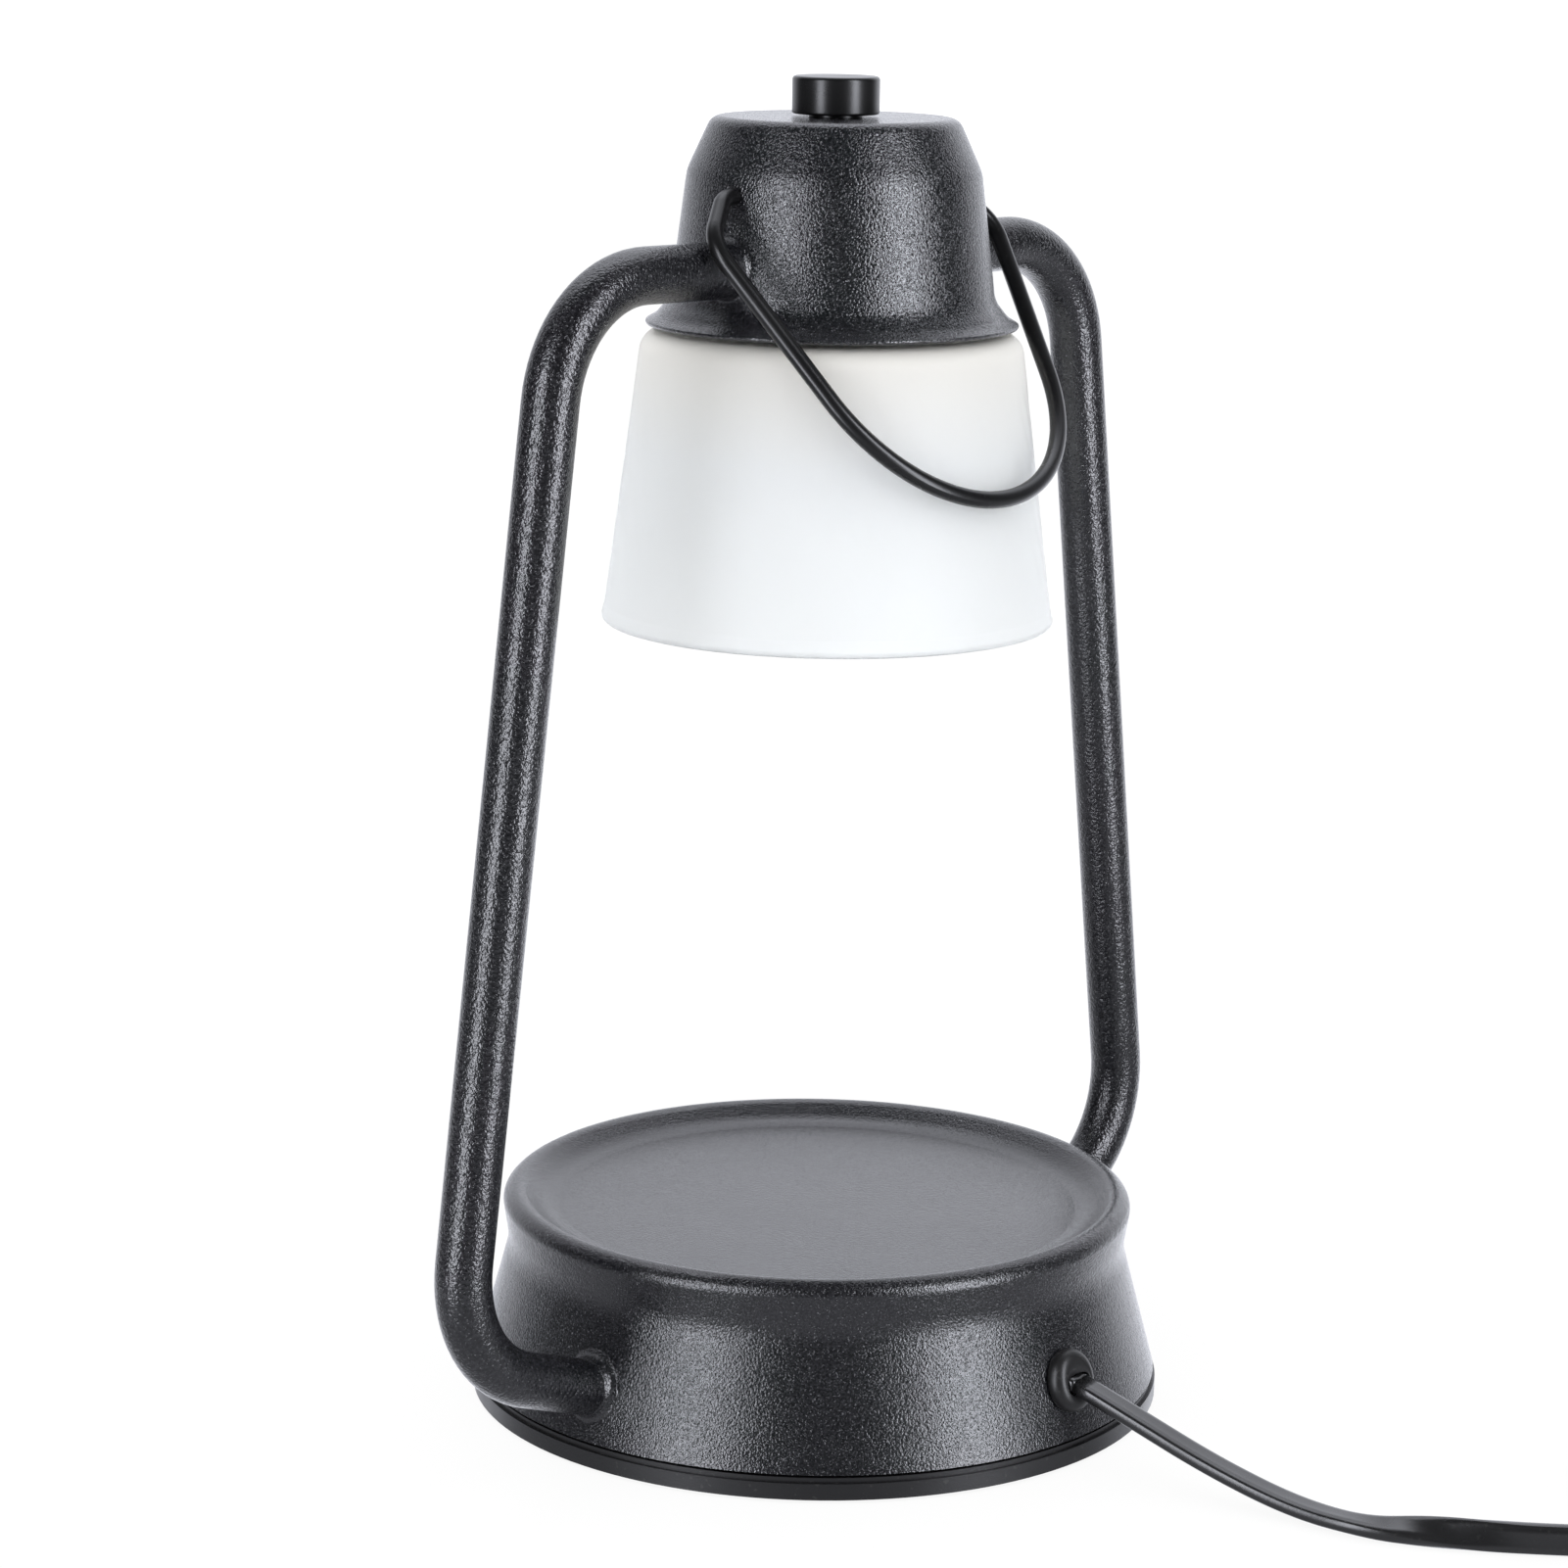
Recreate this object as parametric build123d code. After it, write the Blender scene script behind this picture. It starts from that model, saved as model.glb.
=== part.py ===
"""Candle warmer lamp: a lantern-shaped table lamp that melts a jar candle from above.

Frame: millimetres, origin at the bottom centre of the base, +Z up. The two bent tubes
stand in the XZ plane, and the cord leaves the base towards -Y.
"""
from build123d import *
import os
from math import atan2, cos, degrees, hypot, pi, radians, sin, tan

# ---------------------------------------------------------------- driving dimensions
# Base housing: a spun steel shell whose top is a shallow dish for the candle jar.
DISH_Z = 45.6
DISH_R = 66.0
RIM_TOP = (73.2, 51.0)
RIM_SIDE = (76.7, 47.8)
WAIST = (75.0, 37.1)
SKIRT_END = (83.3, 6.6)
BASE_WALL = 1.6

# Base cover, the plastic ring and floor under the shell.
COVER_R = 83.8
COVER_STEP = 0.8
COVER_BAND_TOP = 4.7
COVER_LEDGE_TOP = 5.9
COVER_BOTTOM = 0.8
FLOOR_BOTTOM = 1.2
FLOOR_TOP = 4.2
LIP_R = 80.6
LIP_TOP = 8.6
LIP_WALL = 1.8

# Foot pad, a foam ring let into the underside of the cover.
PAD_R = (71.0, 81.0)

# Posts, ballast and bottom screws.
POST_RING = 44.0
POST_R = 3.5
POST_COUNT = 4
BALLAST_R = (12.0, 53.0)
BALLAST_THICK = 8.0
SCREW_M4 = 1.95
SCREW_HEAD_M4 = 3.5
SCREW_M3 = 1.45
SCREW_HEAD_M3 = 2.7
POCKET_TOP = 3.0

# Frame tubes, half-inch steel tube with its coat, bent twice.
TUBE_R = 6.5
TUBE_BORE = 5.15
TUBE_BEND = 30.0
TUBE_DOME_END = (32.5, 274.9)
TUBE_TOP_CORNER = (90.9, 275.7)
TUBE_LOW_CORNER = (124.5, 34.4)
TUBE_FALL = 19.7
TUBE_BASE_END = 75.4
BASE_BEAD = 3.0
DOME_BEAD = 1.5

# Dome, the spun steel top of the lantern.
DOME_TOP = 308.3
DOME_TOP_R = 28.7
DOME_SHOULDER = (34.4, 295.9)
DOME_HIP = (38.1, 266.2)
DOME_FLARE = (41.3, 262.2)
DOME_LIP = (43.9, 260.7)
DOME_WALL = 1.2
DOME_EDGE = 0.45

# Glass shade.
SHADE_TOP = 258.8
SHADE_HOLE_R = 20.6
SHADE_SHOULDER_R = 44.55
SHADE_WAIST = (52.85, 194.0)
SHADE_LIP = (53.9, 190.0)
SHADE_WALL = 2.8

# Carry bail, bent from wire.
BAIL_WIRE = 2.0
BAIL_Z = 291.5
BAIL_HANG = 38.0
BAIL_END = 30.5
BAIL_SHOULDER = 38.6
BAIL_HALF_WIDTH = 50.6
BAIL_DROP = 11.8
BAIL_TAPER = 0.256
BAIL_LOOP_R = 41.0
BAIL_BENDS = (7.5, 10.0)
BAIL_HOLE = BAIL_WIRE + 0.08

# Rotary dimmer and its knob.
WASHER = (6.2, 0.5)
NUT = (5.5, 2.2)
TERMINAL = (3.0, 10.0, 4.0)
KNOB_R = 10.2
KNOB_RECESS = (7.0, 3.0)
KNOB_BOTTOM = 308.9
KNOB_TOP = 317.6
SHAFT_R = 3.0
BUSHING_R = 3.5
DIMMER_R = 10.0
DIMMER_FLOOR = 296.0

# Bracket, shade carrier and socket, stacked under the dome.
STRAP = 1.2
STRAP_WIDTH = 16.0
LEG_Y = 13.0
FOOT_Y = 19.6
CARRIER_TOP = 282.3
CARRIER_R = 20.0
CARRIER_WALL = 1.2
CARRIER_END = 251.6
SEAT_R = 38.0
SEAT_TOP = 260.6
RING_R = 27.0
GASKET_R = 30.0
SOCKET_R = 15.0
SOCKET_FACE = 264.0
SOCKET_CAVITY_R = 8.6
PIN_PITCH = 5.0
PIN_R = 1.5
PIN_HEAD_R = 2.5
SOCKET_SCREW_X = 11.8
BULB_TWIST = 20.0

# Reflector bulb.
BULB_BASE_R = 13.5
BULB_NECK_Z = 249.0
BULB_FACE_Z = 216.8
BULB_FACE_R = 25.0
REFLECTOR_WALL = 1.0
CAPSULE_R = 4.5
CAPSULE_LOW = 226.0

# Mains cord: a flat two-core lead, drawn as the round tube of about the same section.
CORD_R = 2.7
CORD_Z = CORD_R + 0.1
CORE_R = 1.2
LEAD_Y = 1.7
CROSS_Z = 289.0
SHEATH_END = -52.0
TAIL_RISE = 2.8
TAIL_BEND = 12.0
EXIT_X = -2.6
EXIT_Y = -83.6
EXIT_Z = 20.0
EXIT_TURN = 1.8
GROMMET_R = 7.4
GROMMET_Z = 19.9
COLLAR_ROUND = 3.2
COLLAR_RISE = 0.8
HOLE_R = 6.0
BORE_R = 3.2
CORD_ROUTE = [
    (EXIT_X, EXIT_Y, EXIT_Z),
    (-0.2, -100.0, 14.5),
    (2.3, -120.0, 8.2),
    (4.8, -141.0, 3.7),
    (6.8, -157.5, CORD_Z),
    (12.6, -171.8, CORD_Z),
    (22.6, -187.6, CORD_Z),
    (36.2, -205.6, CORD_Z),
    (50.5, -227.0, CORD_Z),
    (59.0, -241.2, CORD_Z),
]

# Put-away length: six turns in two layers, held by a tie.
OUTER_TURN_R = 44.9
COIL_R = (34.8, 47.2)
COIL_Z = (1.0, 16.0)
TOP_TURN_Z = 12.0
TIE_WALL = 1.0
TIE_WIDTH = 10.0
TIE_ANGLE = 25.0

# Plug, lying across the coil, off its middle.
PLUG_ANGLE = -25.0
PLUG_ALONG = 24.6
PLUG_ACROSS = -35.5
PLUG_BODY = (26.0, 24.0, 13.0)
PLUG_EDGE = 3.0
PLUG_NECK = (20.0, 4.6, 6.0)
BLADE = (17.0, 1.5, 6.3)
BLADE_ROOT = 6.0
BLADE_PITCH = 12.7
BLADE_HOLE_R = 1.6

os.makedirs("parts", exist_ok=True)


# ---------------------------------------------------------------- helpers
def write(name, *solids):
    """One STEP file for one named piece or group of like pieces."""
    shape = solids[0] if len(solids) == 1 else Compound(children=list(solids))
    export_step(shape, f"parts/{name}.step")


def turned(points, radii=None):
    """A solid of revolution about Z from a closed outline of (radius, height) points."""
    corners = [(r, 0, z) for r, z in points]
    line = FilletPolyline(*corners, radius=radii or [0] * len(corners), close=True)
    return revolve(make_face(line), Axis.Z)


def inset(points, wall):
    """The open outline moved by wall to the right of the way it runs."""
    steps = [(b[0] - a[0], b[1] - a[1]) for a, b in zip(points, points[1:])]
    sides = [(dz / hypot(dr, dz), -dr / hypot(dr, dz)) for dr, dz in steps]
    moved = [(points[0][0] + wall * sides[0][0], points[0][1] + wall * sides[0][1])]
    for (r, z), a, b in zip(points[1:], sides, sides[1:]):
        share = wall / (1 + a[0] * b[0] + a[1] * b[1])
        moved.append((r + share * (a[0] + b[0]), z + share * (a[1] + b[1])))
    moved.append((points[-1][0] + wall * sides[-1][0], points[-1][1] + wall * sides[-1][1]))
    return moved


def shell(points, radii, wall, edge=0.0):
    """A turned shell: the outline outside, and the same outline inset by the wall inside."""
    within = []
    for a, b, c, radius in zip(points, points[1:], points[2:], radii):
        turn = (b[0] - a[0]) * (c[1] - b[1]) - (b[1] - a[1]) * (c[0] - b[0])
        within.append(max(radius + (wall if turn > 0 else -wall), 0.2))
    outline = points + inset(points, wall)[::-1]
    return turned(outline, [0, *radii, edge, edge, *within[::-1], 0])


def envelope(points, radii):
    """The solid inside the outer outline of a shell, down to the level of its edge."""
    return turned(points + [(0, points[-1][1])], [0, *radii, 0, 0])


def swept(points, radii, radius, bore=0.0):
    """A round bar or tube along straight runs joined by arcs."""
    path = FilletPolyline(*points, radius=radii)
    section = Circle(radius) - Circle(bore) if bore else Circle(radius)
    return sweep(Plane(path @ 0, z_dir=path % 0) * section, path=path)


def rod(radius, low, high, x=0.0, y=0.0):
    """An upright cylinder between two heights."""
    return Pos(x, y, (low + high) / 2) * Cylinder(radius, high - low)


def block(x, y, z):
    """A box given by its limits in X, Y and Z."""
    size = [b - a for a, b in (x, y, z)]
    middle = [(a + b) / 2 for a, b in (x, y, z)]
    return Pos(*middle) * Box(*size)


def around(count, ring, shape, start=0.0):
    """Copies of a shape, moved out to a ring and spaced evenly about Z."""
    return [Rot(0, 0, start + 360 * i / count) * Pos(ring, 0, 0) * shape for i in range(count)]


def one(shape):
    """The single solid of a shape."""
    solids = shape.solids()
    assert len(solids) == 1, len(solids)
    return solids[0]


def mirrored(shape):
    """The same piece on the -X side."""
    return mirror(shape, about=Plane.YZ)


# ---------------------------------------------------------------- frame tubes
tube_fall = (TUBE_LOW_CORNER[0] - TUBE_BASE_END) * tan(radians(TUBE_FALL))
tube_base = (TUBE_BASE_END, TUBE_LOW_CORNER[1] - tube_fall)
tube_line = [TUBE_DOME_END, TUBE_TOP_CORNER, TUBE_LOW_CORNER, tube_base]


def along_tube(y=0.0):
    """The tube's centreline, moved sideways by y."""
    return [(x, y, z) for x, z in tube_line]


tube = one(swept(along_tube(), TUBE_BEND, TUBE_R, TUBE_BORE))
tube_space = one(swept(along_tube(), TUBE_BEND, TUBE_R))
tubes = {"right": tube, "left": mirrored(tube)}
tube_spaces = [tube_space, mirrored(tube_space)]

# ---------------------------------------------------------------- base housing
base_outline = [(0, DISH_Z), (DISH_R, DISH_Z), RIM_TOP, RIM_SIDE, WAIST, SKIRT_END]
base_radii = [9.0, 3.2, 2.8, 13.0]
base_housing = shell(base_outline, base_radii, BASE_WALL)
base_solid = envelope(base_outline, base_radii)

skirt_lean = degrees(atan2(SKIRT_END[0] - WAIST[0], WAIST[1] - SKIRT_END[1]))


def side_r(top, low, z):
    """The outer radius at a height of a shell's straight side between two corners."""
    return low[0] + (top[0] - low[0]) * (z - low[1]) / (top[1] - low[1])


def skirt_r(z):
    """The outer radius of the flared skirt at a height."""
    return side_r(WAIST, SKIRT_END, z)


exit_frame = Rot(0, 0, -EXIT_TURN) * Pos(0, -skirt_r(GROMMET_Z), GROMMET_Z) * Rot(90 - skirt_lean, 0, 0)
cord_hole = exit_frame * Cylinder(HOLE_R, 12)
for space in tube_spaces:
    base_housing -= space
base_housing = one(base_housing - cord_hole)

# Grommet: a rubber bushing with a full-round collar outside and a flat one inside the wall.
collar = exit_frame * Pos(0, 0, COLLAR_RISE) * Torus(GROMMET_R - COLLAR_ROUND, COLLAR_ROUND)
collar += exit_frame * Pos(0, 0, COLLAR_RISE) * Cylinder(GROMMET_R - COLLAR_ROUND, 2 * COLLAR_ROUND)
sleeve = exit_frame * Pos(0, 0, -0.9) * Cylinder(HOLE_R, 4.6)
inner_collar = exit_frame * Pos(0, 0, -BASE_WALL - 1.0) * Cylinder(GROMMET_R, 2.0)
cord_start = Vector(CORD_ROUTE[0])
cord_out = (Vector(CORD_ROUTE[1]) - cord_start).normalized()
tail_bend = cord_start - cord_out * TAIL_RISE
tail_x, tail_z = tail_bend.X, tail_bend.Z
tail_line = [tail_bend, (tail_x, SHEATH_END, tail_z)]
cord_bore = swept([cord_start + cord_out * 5, *tail_line], TAIL_BEND, BORE_R)
cord_grommet = one(collar + sleeve + inner_collar - base_housing - cord_bore)

# ---------------------------------------------------------------- base cover and its fixings
cover_outline = [
    (0, FLOOR_BOTTOM),
    (PAD_R[0], FLOOR_BOTTOM),
    (PAD_R[1], FLOOR_BOTTOM),
    (PAD_R[1], COVER_BOTTOM),
    (COVER_R, COVER_BOTTOM),
    (COVER_R, COVER_BAND_TOP),
    (COVER_R - COVER_STEP, COVER_BAND_TOP),
    (COVER_R - COVER_STEP, COVER_LEDGE_TOP),
    (LIP_R, COVER_LEDGE_TOP),
    (LIP_R - 0.3, LIP_TOP),
    (LIP_R - LIP_WALL, LIP_TOP),
    (LIP_R - LIP_WALL, FLOOR_TOP),
    (0, FLOOR_TOP),
]
base_cover = turned(cover_outline)
post_holes = around(POST_COUNT, POST_RING, rod(SCREW_M4 + 0.25, 0, LIP_TOP), 45)
head_pockets = around(POST_COUNT, POST_RING, rod(SCREW_HEAD_M4 + 0.4, 0, POCKET_TOP), 45)
for cut in post_holes + head_pockets:
    base_cover -= cut
base_cover = one(base_cover)

foot_pad = rod(PAD_R[1] - 0.1, 0, FLOOR_BOTTOM) - rod(PAD_R[0], 0, FLOOR_BOTTOM)

post = rod(POST_R, FLOOR_TOP, DISH_Z - BASE_WALL) - rod(SCREW_M4, FLOOR_TOP, 18)
posts = around(POST_COUNT, POST_RING, post, 45)
head_low = FLOOR_BOTTOM + 0.1
cover_screw = rod(SCREW_M4, head_low, 14.0) + rod(SCREW_HEAD_M4, head_low, POCKET_TOP)
cover_screw -= Pos(0, 0, head_low) * (Box(5.0, 1.0, 1.6) + Box(1.0, 5.0, 1.6))
cover_screws = around(POST_COUNT, POST_RING, cover_screw, 45)

ballast = rod(BALLAST_R[1], FLOOR_TOP, FLOOR_TOP + BALLAST_THICK) - rod(BALLAST_R[0], 0, 30)
for clearance in around(POST_COUNT, POST_RING, rod(POST_R + 0.3, 0, 30), 45):
    ballast -= clearance
ballast = one(ballast)

# ---------------------------------------------------------------- cord inside the base
CLAMP_Y = (-68.0, -60.0)
SPLICE_X = 9.0
SPLICE_Y = (-38.0, -20.0)
SPLICE_Z = 18.0

CLAMP_TOP = tail_z + 4.6
sheath = swept([cord_start, *tail_line], TAIL_BEND, CORD_R)


def core(side):
    """One insulated core, from the end of the sheath into its splice."""
    points = [
        (tail_x + side * 1.3, SHEATH_END - 2.0, tail_z),
        (tail_x + side * 2.4, SHEATH_END + 5.0, tail_z),
        (side * SPLICE_X, SPLICE_Y[0] - 4.0, SPLICE_Z),
        (side * SPLICE_X, SPLICE_Y[0] + 7.0, SPLICE_Z),
    ]
    return swept(points, 4.0, CORE_R)


cord_tail = one(sheath + core(-1) + core(1))

clamp_hole = Pos(tail_x, sum(CLAMP_Y) / 2, tail_z) * Rot(90, 0, 0) * Cylinder(CORD_R, 20)
clamp_screws = []
clamp_x = (tail_x - 11, tail_x + 11)
clamp_base = block(clamp_x, CLAMP_Y, (FLOOR_TOP, tail_z - 0.3)) - clamp_hole
clamp_bar = block(clamp_x, CLAMP_Y, (tail_z + 0.3, CLAMP_TOP)) - clamp_hole
for side in (-1, 1):
    place = dict(x=tail_x + side * 7.0, y=sum(CLAMP_Y) / 2)
    head = rod(SCREW_HEAD_M3, CLAMP_TOP, CLAMP_TOP + 1.9, **place)
    clamp_screws.append(head + rod(SCREW_M3, 8.0, CLAMP_TOP + 0.1, **place))
    clamp_base -= rod(SCREW_M3, 7.0, 30, **place)
    clamp_bar -= rod(SCREW_M3 + 0.1, 7.0, 30, **place)

splices = []
for side in (-1, 1):
    place = Pos(side * SPLICE_X, sum(SPLICE_Y) / 2, SPLICE_Z) * Rot(90, 0, 0)
    splices.append(place * (Cylinder(2.9, SPLICE_Y[1] - SPLICE_Y[0]) - Cylinder(CORE_R, 30)))

# ---------------------------------------------------------------- dome and its weld beads
dome_outline = [(0, DOME_TOP), (DOME_TOP_R, DOME_TOP), DOME_SHOULDER, DOME_HIP, DOME_FLARE, DOME_LIP]
dome_radii = [3.4, 10.0, 6.5, 4.5]
dome_housing = shell(dome_outline, dome_radii, DOME_WALL, DOME_EDGE)
dome_solid = envelope(dome_outline, dome_radii)
pivot_hole = Pos(0, 0, BAIL_Z) * Rot(0, 90, 0) * Cylinder(BAIL_HOLE, 100)
dome_housing -= pivot_hole + rod(BUSHING_R + 0.15, DOME_TOP - 10, DOME_TOP + 10)
for space in tube_spaces:
    dome_housing -= space
dome_housing = one(dome_housing)


def weld_bead(root, lean, solid, leg):
    """A weld fillet round a tube where it meets a shell, from inside the shell's surface."""
    outline = [
        (TUBE_R - 0.5, -5.0),
        (TUBE_R + leg, -5.0),
        (TUBE_R + leg, 0.6),
        (TUBE_R + 0.2, leg + 1.0),
        (TUBE_R - 0.5, leg + 1.0),
    ]
    bead = turned(outline, [0, 0, 1.2, 0, 0])
    bead = Pos(root[0], 0, root[1]) * Rot(0, 90 - lean, 0) * bead
    return one(bead - solid - tube_space)


base_root_r = skirt_r(tube_base[1] + 1.2)
base_root = (base_root_r, tube_base[1] + (base_root_r - TUBE_BASE_END) * tan(radians(TUBE_FALL)))
base_bead = weld_bead(base_root, TUBE_FALL, base_solid, BASE_BEAD)
dome_root = (side_r(DOME_SHOULDER, DOME_HIP, TUBE_DOME_END[1]) - 0.6, TUBE_DOME_END[1])
dome_bead = weld_bead(dome_root, 0.8, dome_solid, DOME_BEAD)

# ---------------------------------------------------------------- dimmer and knob
washer_top = DOME_TOP + WASHER[1]
nut_top = washer_top + NUT[1]
reach, width, thick = TERMINAL
terminal_low = DIMMER_FLOOR + 1
dimmer_body = rod(DIMMER_R, DIMMER_FLOOR, DOME_TOP - DOME_WALL - STRAP)
dimmer_body += rod(BUSHING_R, DIMMER_FLOOR, nut_top + 0.6)
dimmer_body += block(
    (DIMMER_R - 2, DIMMER_R + reach),
    (-width / 2, width / 2),
    (terminal_low, terminal_low + thick),
)
dimmer_body = one(dimmer_body - rod(SHAFT_R + 0.05, DIMMER_FLOOR + 1.5, KNOB_TOP))
dimmer_shaft = rod(SHAFT_R, DIMMER_FLOOR + 1.8, KNOB_TOP - 2.0)
bushing = rod(BUSHING_R, DIMMER_FLOOR, KNOB_TOP)
dimmer_washer = rod(WASHER[0], DOME_TOP, washer_top) - bushing
dimmer_nut = Pos(0, 0, washer_top) * extrude(RegularPolygon(NUT[0], 6), NUT[1]) - bushing

knob = turned(
    [(0, KNOB_BOTTOM), (KNOB_R, KNOB_BOTTOM), (KNOB_R, KNOB_TOP), (0, KNOB_TOP)],
    [0, 0.6, 0.9, 0],
)
knob -= rod(KNOB_RECESS[0], DOME_TOP, KNOB_BOTTOM + KNOB_RECESS[1])
control_knob = one(knob - rod(SHAFT_R, DOME_TOP, KNOB_TOP - 2.0))

# ---------------------------------------------------------------- bracket, carrier, socket
strap_top = DOME_TOP - DOME_WALL
foot_top = CARRIER_TOP + STRAP
bracket = block((-STRAP_WIDTH / 2, STRAP_WIDTH / 2), (-LEG_Y, LEG_Y), (strap_top - STRAP, strap_top))
for side in (-1, 1):
    leg = sorted((side * (LEG_Y - STRAP), side * LEG_Y))
    foot = sorted((side * (LEG_Y - STRAP), side * FOOT_Y))
    bracket += block((-STRAP_WIDTH / 2, STRAP_WIDTH / 2), leg, (CARRIER_TOP, strap_top))
    bracket += block((-STRAP_WIDTH / 2, STRAP_WIDTH / 2), foot, (CARRIER_TOP, foot_top))
foot_screws = []
for side in (-1, 1):
    place = dict(x=0.0, y=side * (LEG_Y + FOOT_Y) / 2 + side * 0.3)
    bracket -= rod(SCREW_M3 + 0.15, CARRIER_TOP, foot_top, **place)
    head = rod(SCREW_HEAD_M3, foot_top, foot_top + 1.8, **place)
    foot_screws.append(head + rod(SCREW_M3, CARRIER_TOP - 2.9, foot_top + 0.1, **place))
bracket = one(bracket - rod(BUSHING_R + 0.1, DIMMER_FLOOR, DOME_TOP))

carrier_outline = [
    (9.0, CARRIER_TOP - CARRIER_WALL),
    (CARRIER_R - CARRIER_WALL, CARRIER_TOP - CARRIER_WALL),
    (CARRIER_R - CARRIER_WALL, CARRIER_END),
    (CARRIER_R, CARRIER_END),
    (CARRIER_R, SEAT_TOP - CARRIER_WALL),
    (SEAT_R, SEAT_TOP - CARRIER_WALL),
    (SEAT_R, SEAT_TOP),
    (CARRIER_R, SEAT_TOP),
    (CARRIER_R, CARRIER_TOP),
    (9.0, CARRIER_TOP),
]
carrier = turned(carrier_outline)
for screw in foot_screws:
    carrier -= screw
for side in (-1, 1):
    carrier -= rod(SCREW_M3, SOCKET_FACE, DOME_TOP, x=side * SOCKET_SCREW_X)
shade_carrier = one(carrier)

PIN_FLOOR = SOCKET_FACE + 3.0
CAVITY_TOP = SOCKET_FACE + 8.5
SCREW_SEAT = SOCKET_FACE + 2.6
socket = rod(SOCKET_R, SOCKET_FACE, CARRIER_TOP - CARRIER_WALL)
socket -= rod(SOCKET_CAVITY_R, PIN_FLOOR, CAVITY_TOP)
for side in (-1, 1):
    socket -= rod(SCREW_M3 + 0.15, SOCKET_FACE, CARRIER_TOP, x=side * SOCKET_SCREW_X)
    socket -= rod(SCREW_HEAD_M3 + 0.3, SOCKET_FACE, SCREW_SEAT, x=side * SOCKET_SCREW_X)
    socket -= rod(CORE_R + 0.2, CAVITY_TOP, CARRIER_TOP, x=side * PIN_PITCH, y=side * LEAD_Y)
# Two keyholes: a round mouth for the pin head, and an arc slot for the pin to turn along.
for half in (0, 180):
    levels = (SOCKET_FACE - 1.0, PIN_FLOOR + 0.1)
    keyhole = Rot(0, 0, -BULB_TWIST) * rod(PIN_HEAD_R + 0.2, *levels, x=PIN_PITCH)
    slot = rod(PIN_PITCH + PIN_R + 0.2, *levels) - rod(PIN_PITCH - PIN_R - 0.2, *levels)
    far = (SOCKET_R * cos(radians(BULB_TWIST)), -SOCKET_R * sin(radians(BULB_TWIST)))
    wedge = make_face(Polyline((0, 0), (SOCKET_R, 0), far, close=True))
    slot &= Pos(0, 0, levels[0]) * extrude(wedge, levels[1] - levels[0])
    slot += rod(PIN_R + 0.2, *levels, x=PIN_PITCH)
    socket -= Rot(0, 0, half) * (slot + keyhole)
lamp_socket = one(socket)
contacts = [
    block(sorted((side * 3.0, side * 7.0)), sorted((0, side * 3.4)), (CAVITY_TOP - 1.0, CAVITY_TOP))
    for side in (-1, 1)
]
socket_screws = [
    rod(SCREW_M3, SOCKET_FACE + 0.8, CARRIER_TOP + 1.5, x=side * SOCKET_SCREW_X)
    + rod(SCREW_HEAD_M3, SOCKET_FACE + 0.8, SCREW_SEAT, x=side * SOCKET_SCREW_X)
    for side in (-1, 1)
]

# ---------------------------------------------------------------- shade and its clamp
shade_outline = [(SHADE_HOLE_R, SHADE_TOP), (SHADE_SHOULDER_R, SHADE_TOP), SHADE_WAIST, SHADE_LIP]
glass_shade = one(shell(shade_outline, [5.5, 4.0], SHADE_WALL))
flange_low = SHADE_TOP - SHADE_WALL
ring_top = flange_low - 0.5
ring_low = ring_top - 3.6
cup = rod(CARRIER_R + 0.1, CARRIER_END, CARRIER_TOP)
upper_gasket = rod(GASKET_R, SHADE_TOP, SEAT_TOP - CARRIER_WALL) - cup
lower_gasket = rod(RING_R, ring_top, flange_low) - cup
ring_corners = [(CARRIER_R, ring_low), (RING_R, ring_low), (RING_R, ring_top), (CARRIER_R, ring_top)]
shade_ring = turned(ring_corners, [0, 0.8, 0, 0])
for notch in around(12, RING_R, rod(1.6, ring_low, ring_top)):
    shade_ring -= notch
shade_ring = one(shade_ring)

# ---------------------------------------------------------------- bulb
base_top = SOCKET_FACE - 0.2
base_low = BULB_NECK_Z - 2
bulb_outline = [(0, base_low), (BULB_BASE_R - 2.5, base_low), (BULB_BASE_R, BULB_NECK_Z)]
bulb_outline += [(BULB_BASE_R, base_top), (0, base_top)]
bulb_base = turned(bulb_outline, [0, 0, 0, 0.8, 0])
pin_head = (PIN_FLOOR + 0.4, PIN_FLOOR + 3.2)
bulb_pins = []
for side in (-1, 1):
    pin = rod(PIN_R, base_top - 4, pin_head[0] + 0.1, x=side * PIN_PITCH)
    pin += rod(PIN_HEAD_R, *pin_head, x=side * PIN_PITCH)
    bulb_base -= rod(PIN_R, base_top - 4, base_top, x=side * PIN_PITCH)
    bulb_pins.append(pin)
reflector_outline = [
    (BULB_BASE_R - 2.3, BULB_NECK_Z),
    (BULB_BASE_R + 0.2, BULB_NECK_Z),
    (BULB_FACE_R - 1.4, BULB_FACE_Z + 9.2),
    (BULB_FACE_R, BULB_FACE_Z + 5.2),
    (BULB_FACE_R, BULB_FACE_Z),
]
reflector = shell(reflector_outline, [0.8, 12.0, 2.0], REFLECTOR_WALL)
bulb_reflector = one(reflector - bulb_base)
bulb_lens = rod(BULB_FACE_R - REFLECTOR_WALL - 0.05, BULB_FACE_Z + 0.2, BULB_FACE_Z + 2.0)
capsule = [(0, CAPSULE_LOW), (CAPSULE_R, CAPSULE_LOW), (CAPSULE_R, base_low), (0, base_low)]
bulb_capsule = turned(capsule, [0, CAPSULE_R - 1.0, 0, 0])

# ---------------------------------------------------------------- bail handle
loop_point = BAIL_DROP + BAIL_HALF_WIDTH / BAIL_TAPER


def on_bail(across, down):
    """A point of the bail's plane, which hangs forward of straight down."""
    hang = radians(BAIL_HANG)
    return (across, -down * sin(hang), BAIL_Z - down * cos(hang))


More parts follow.
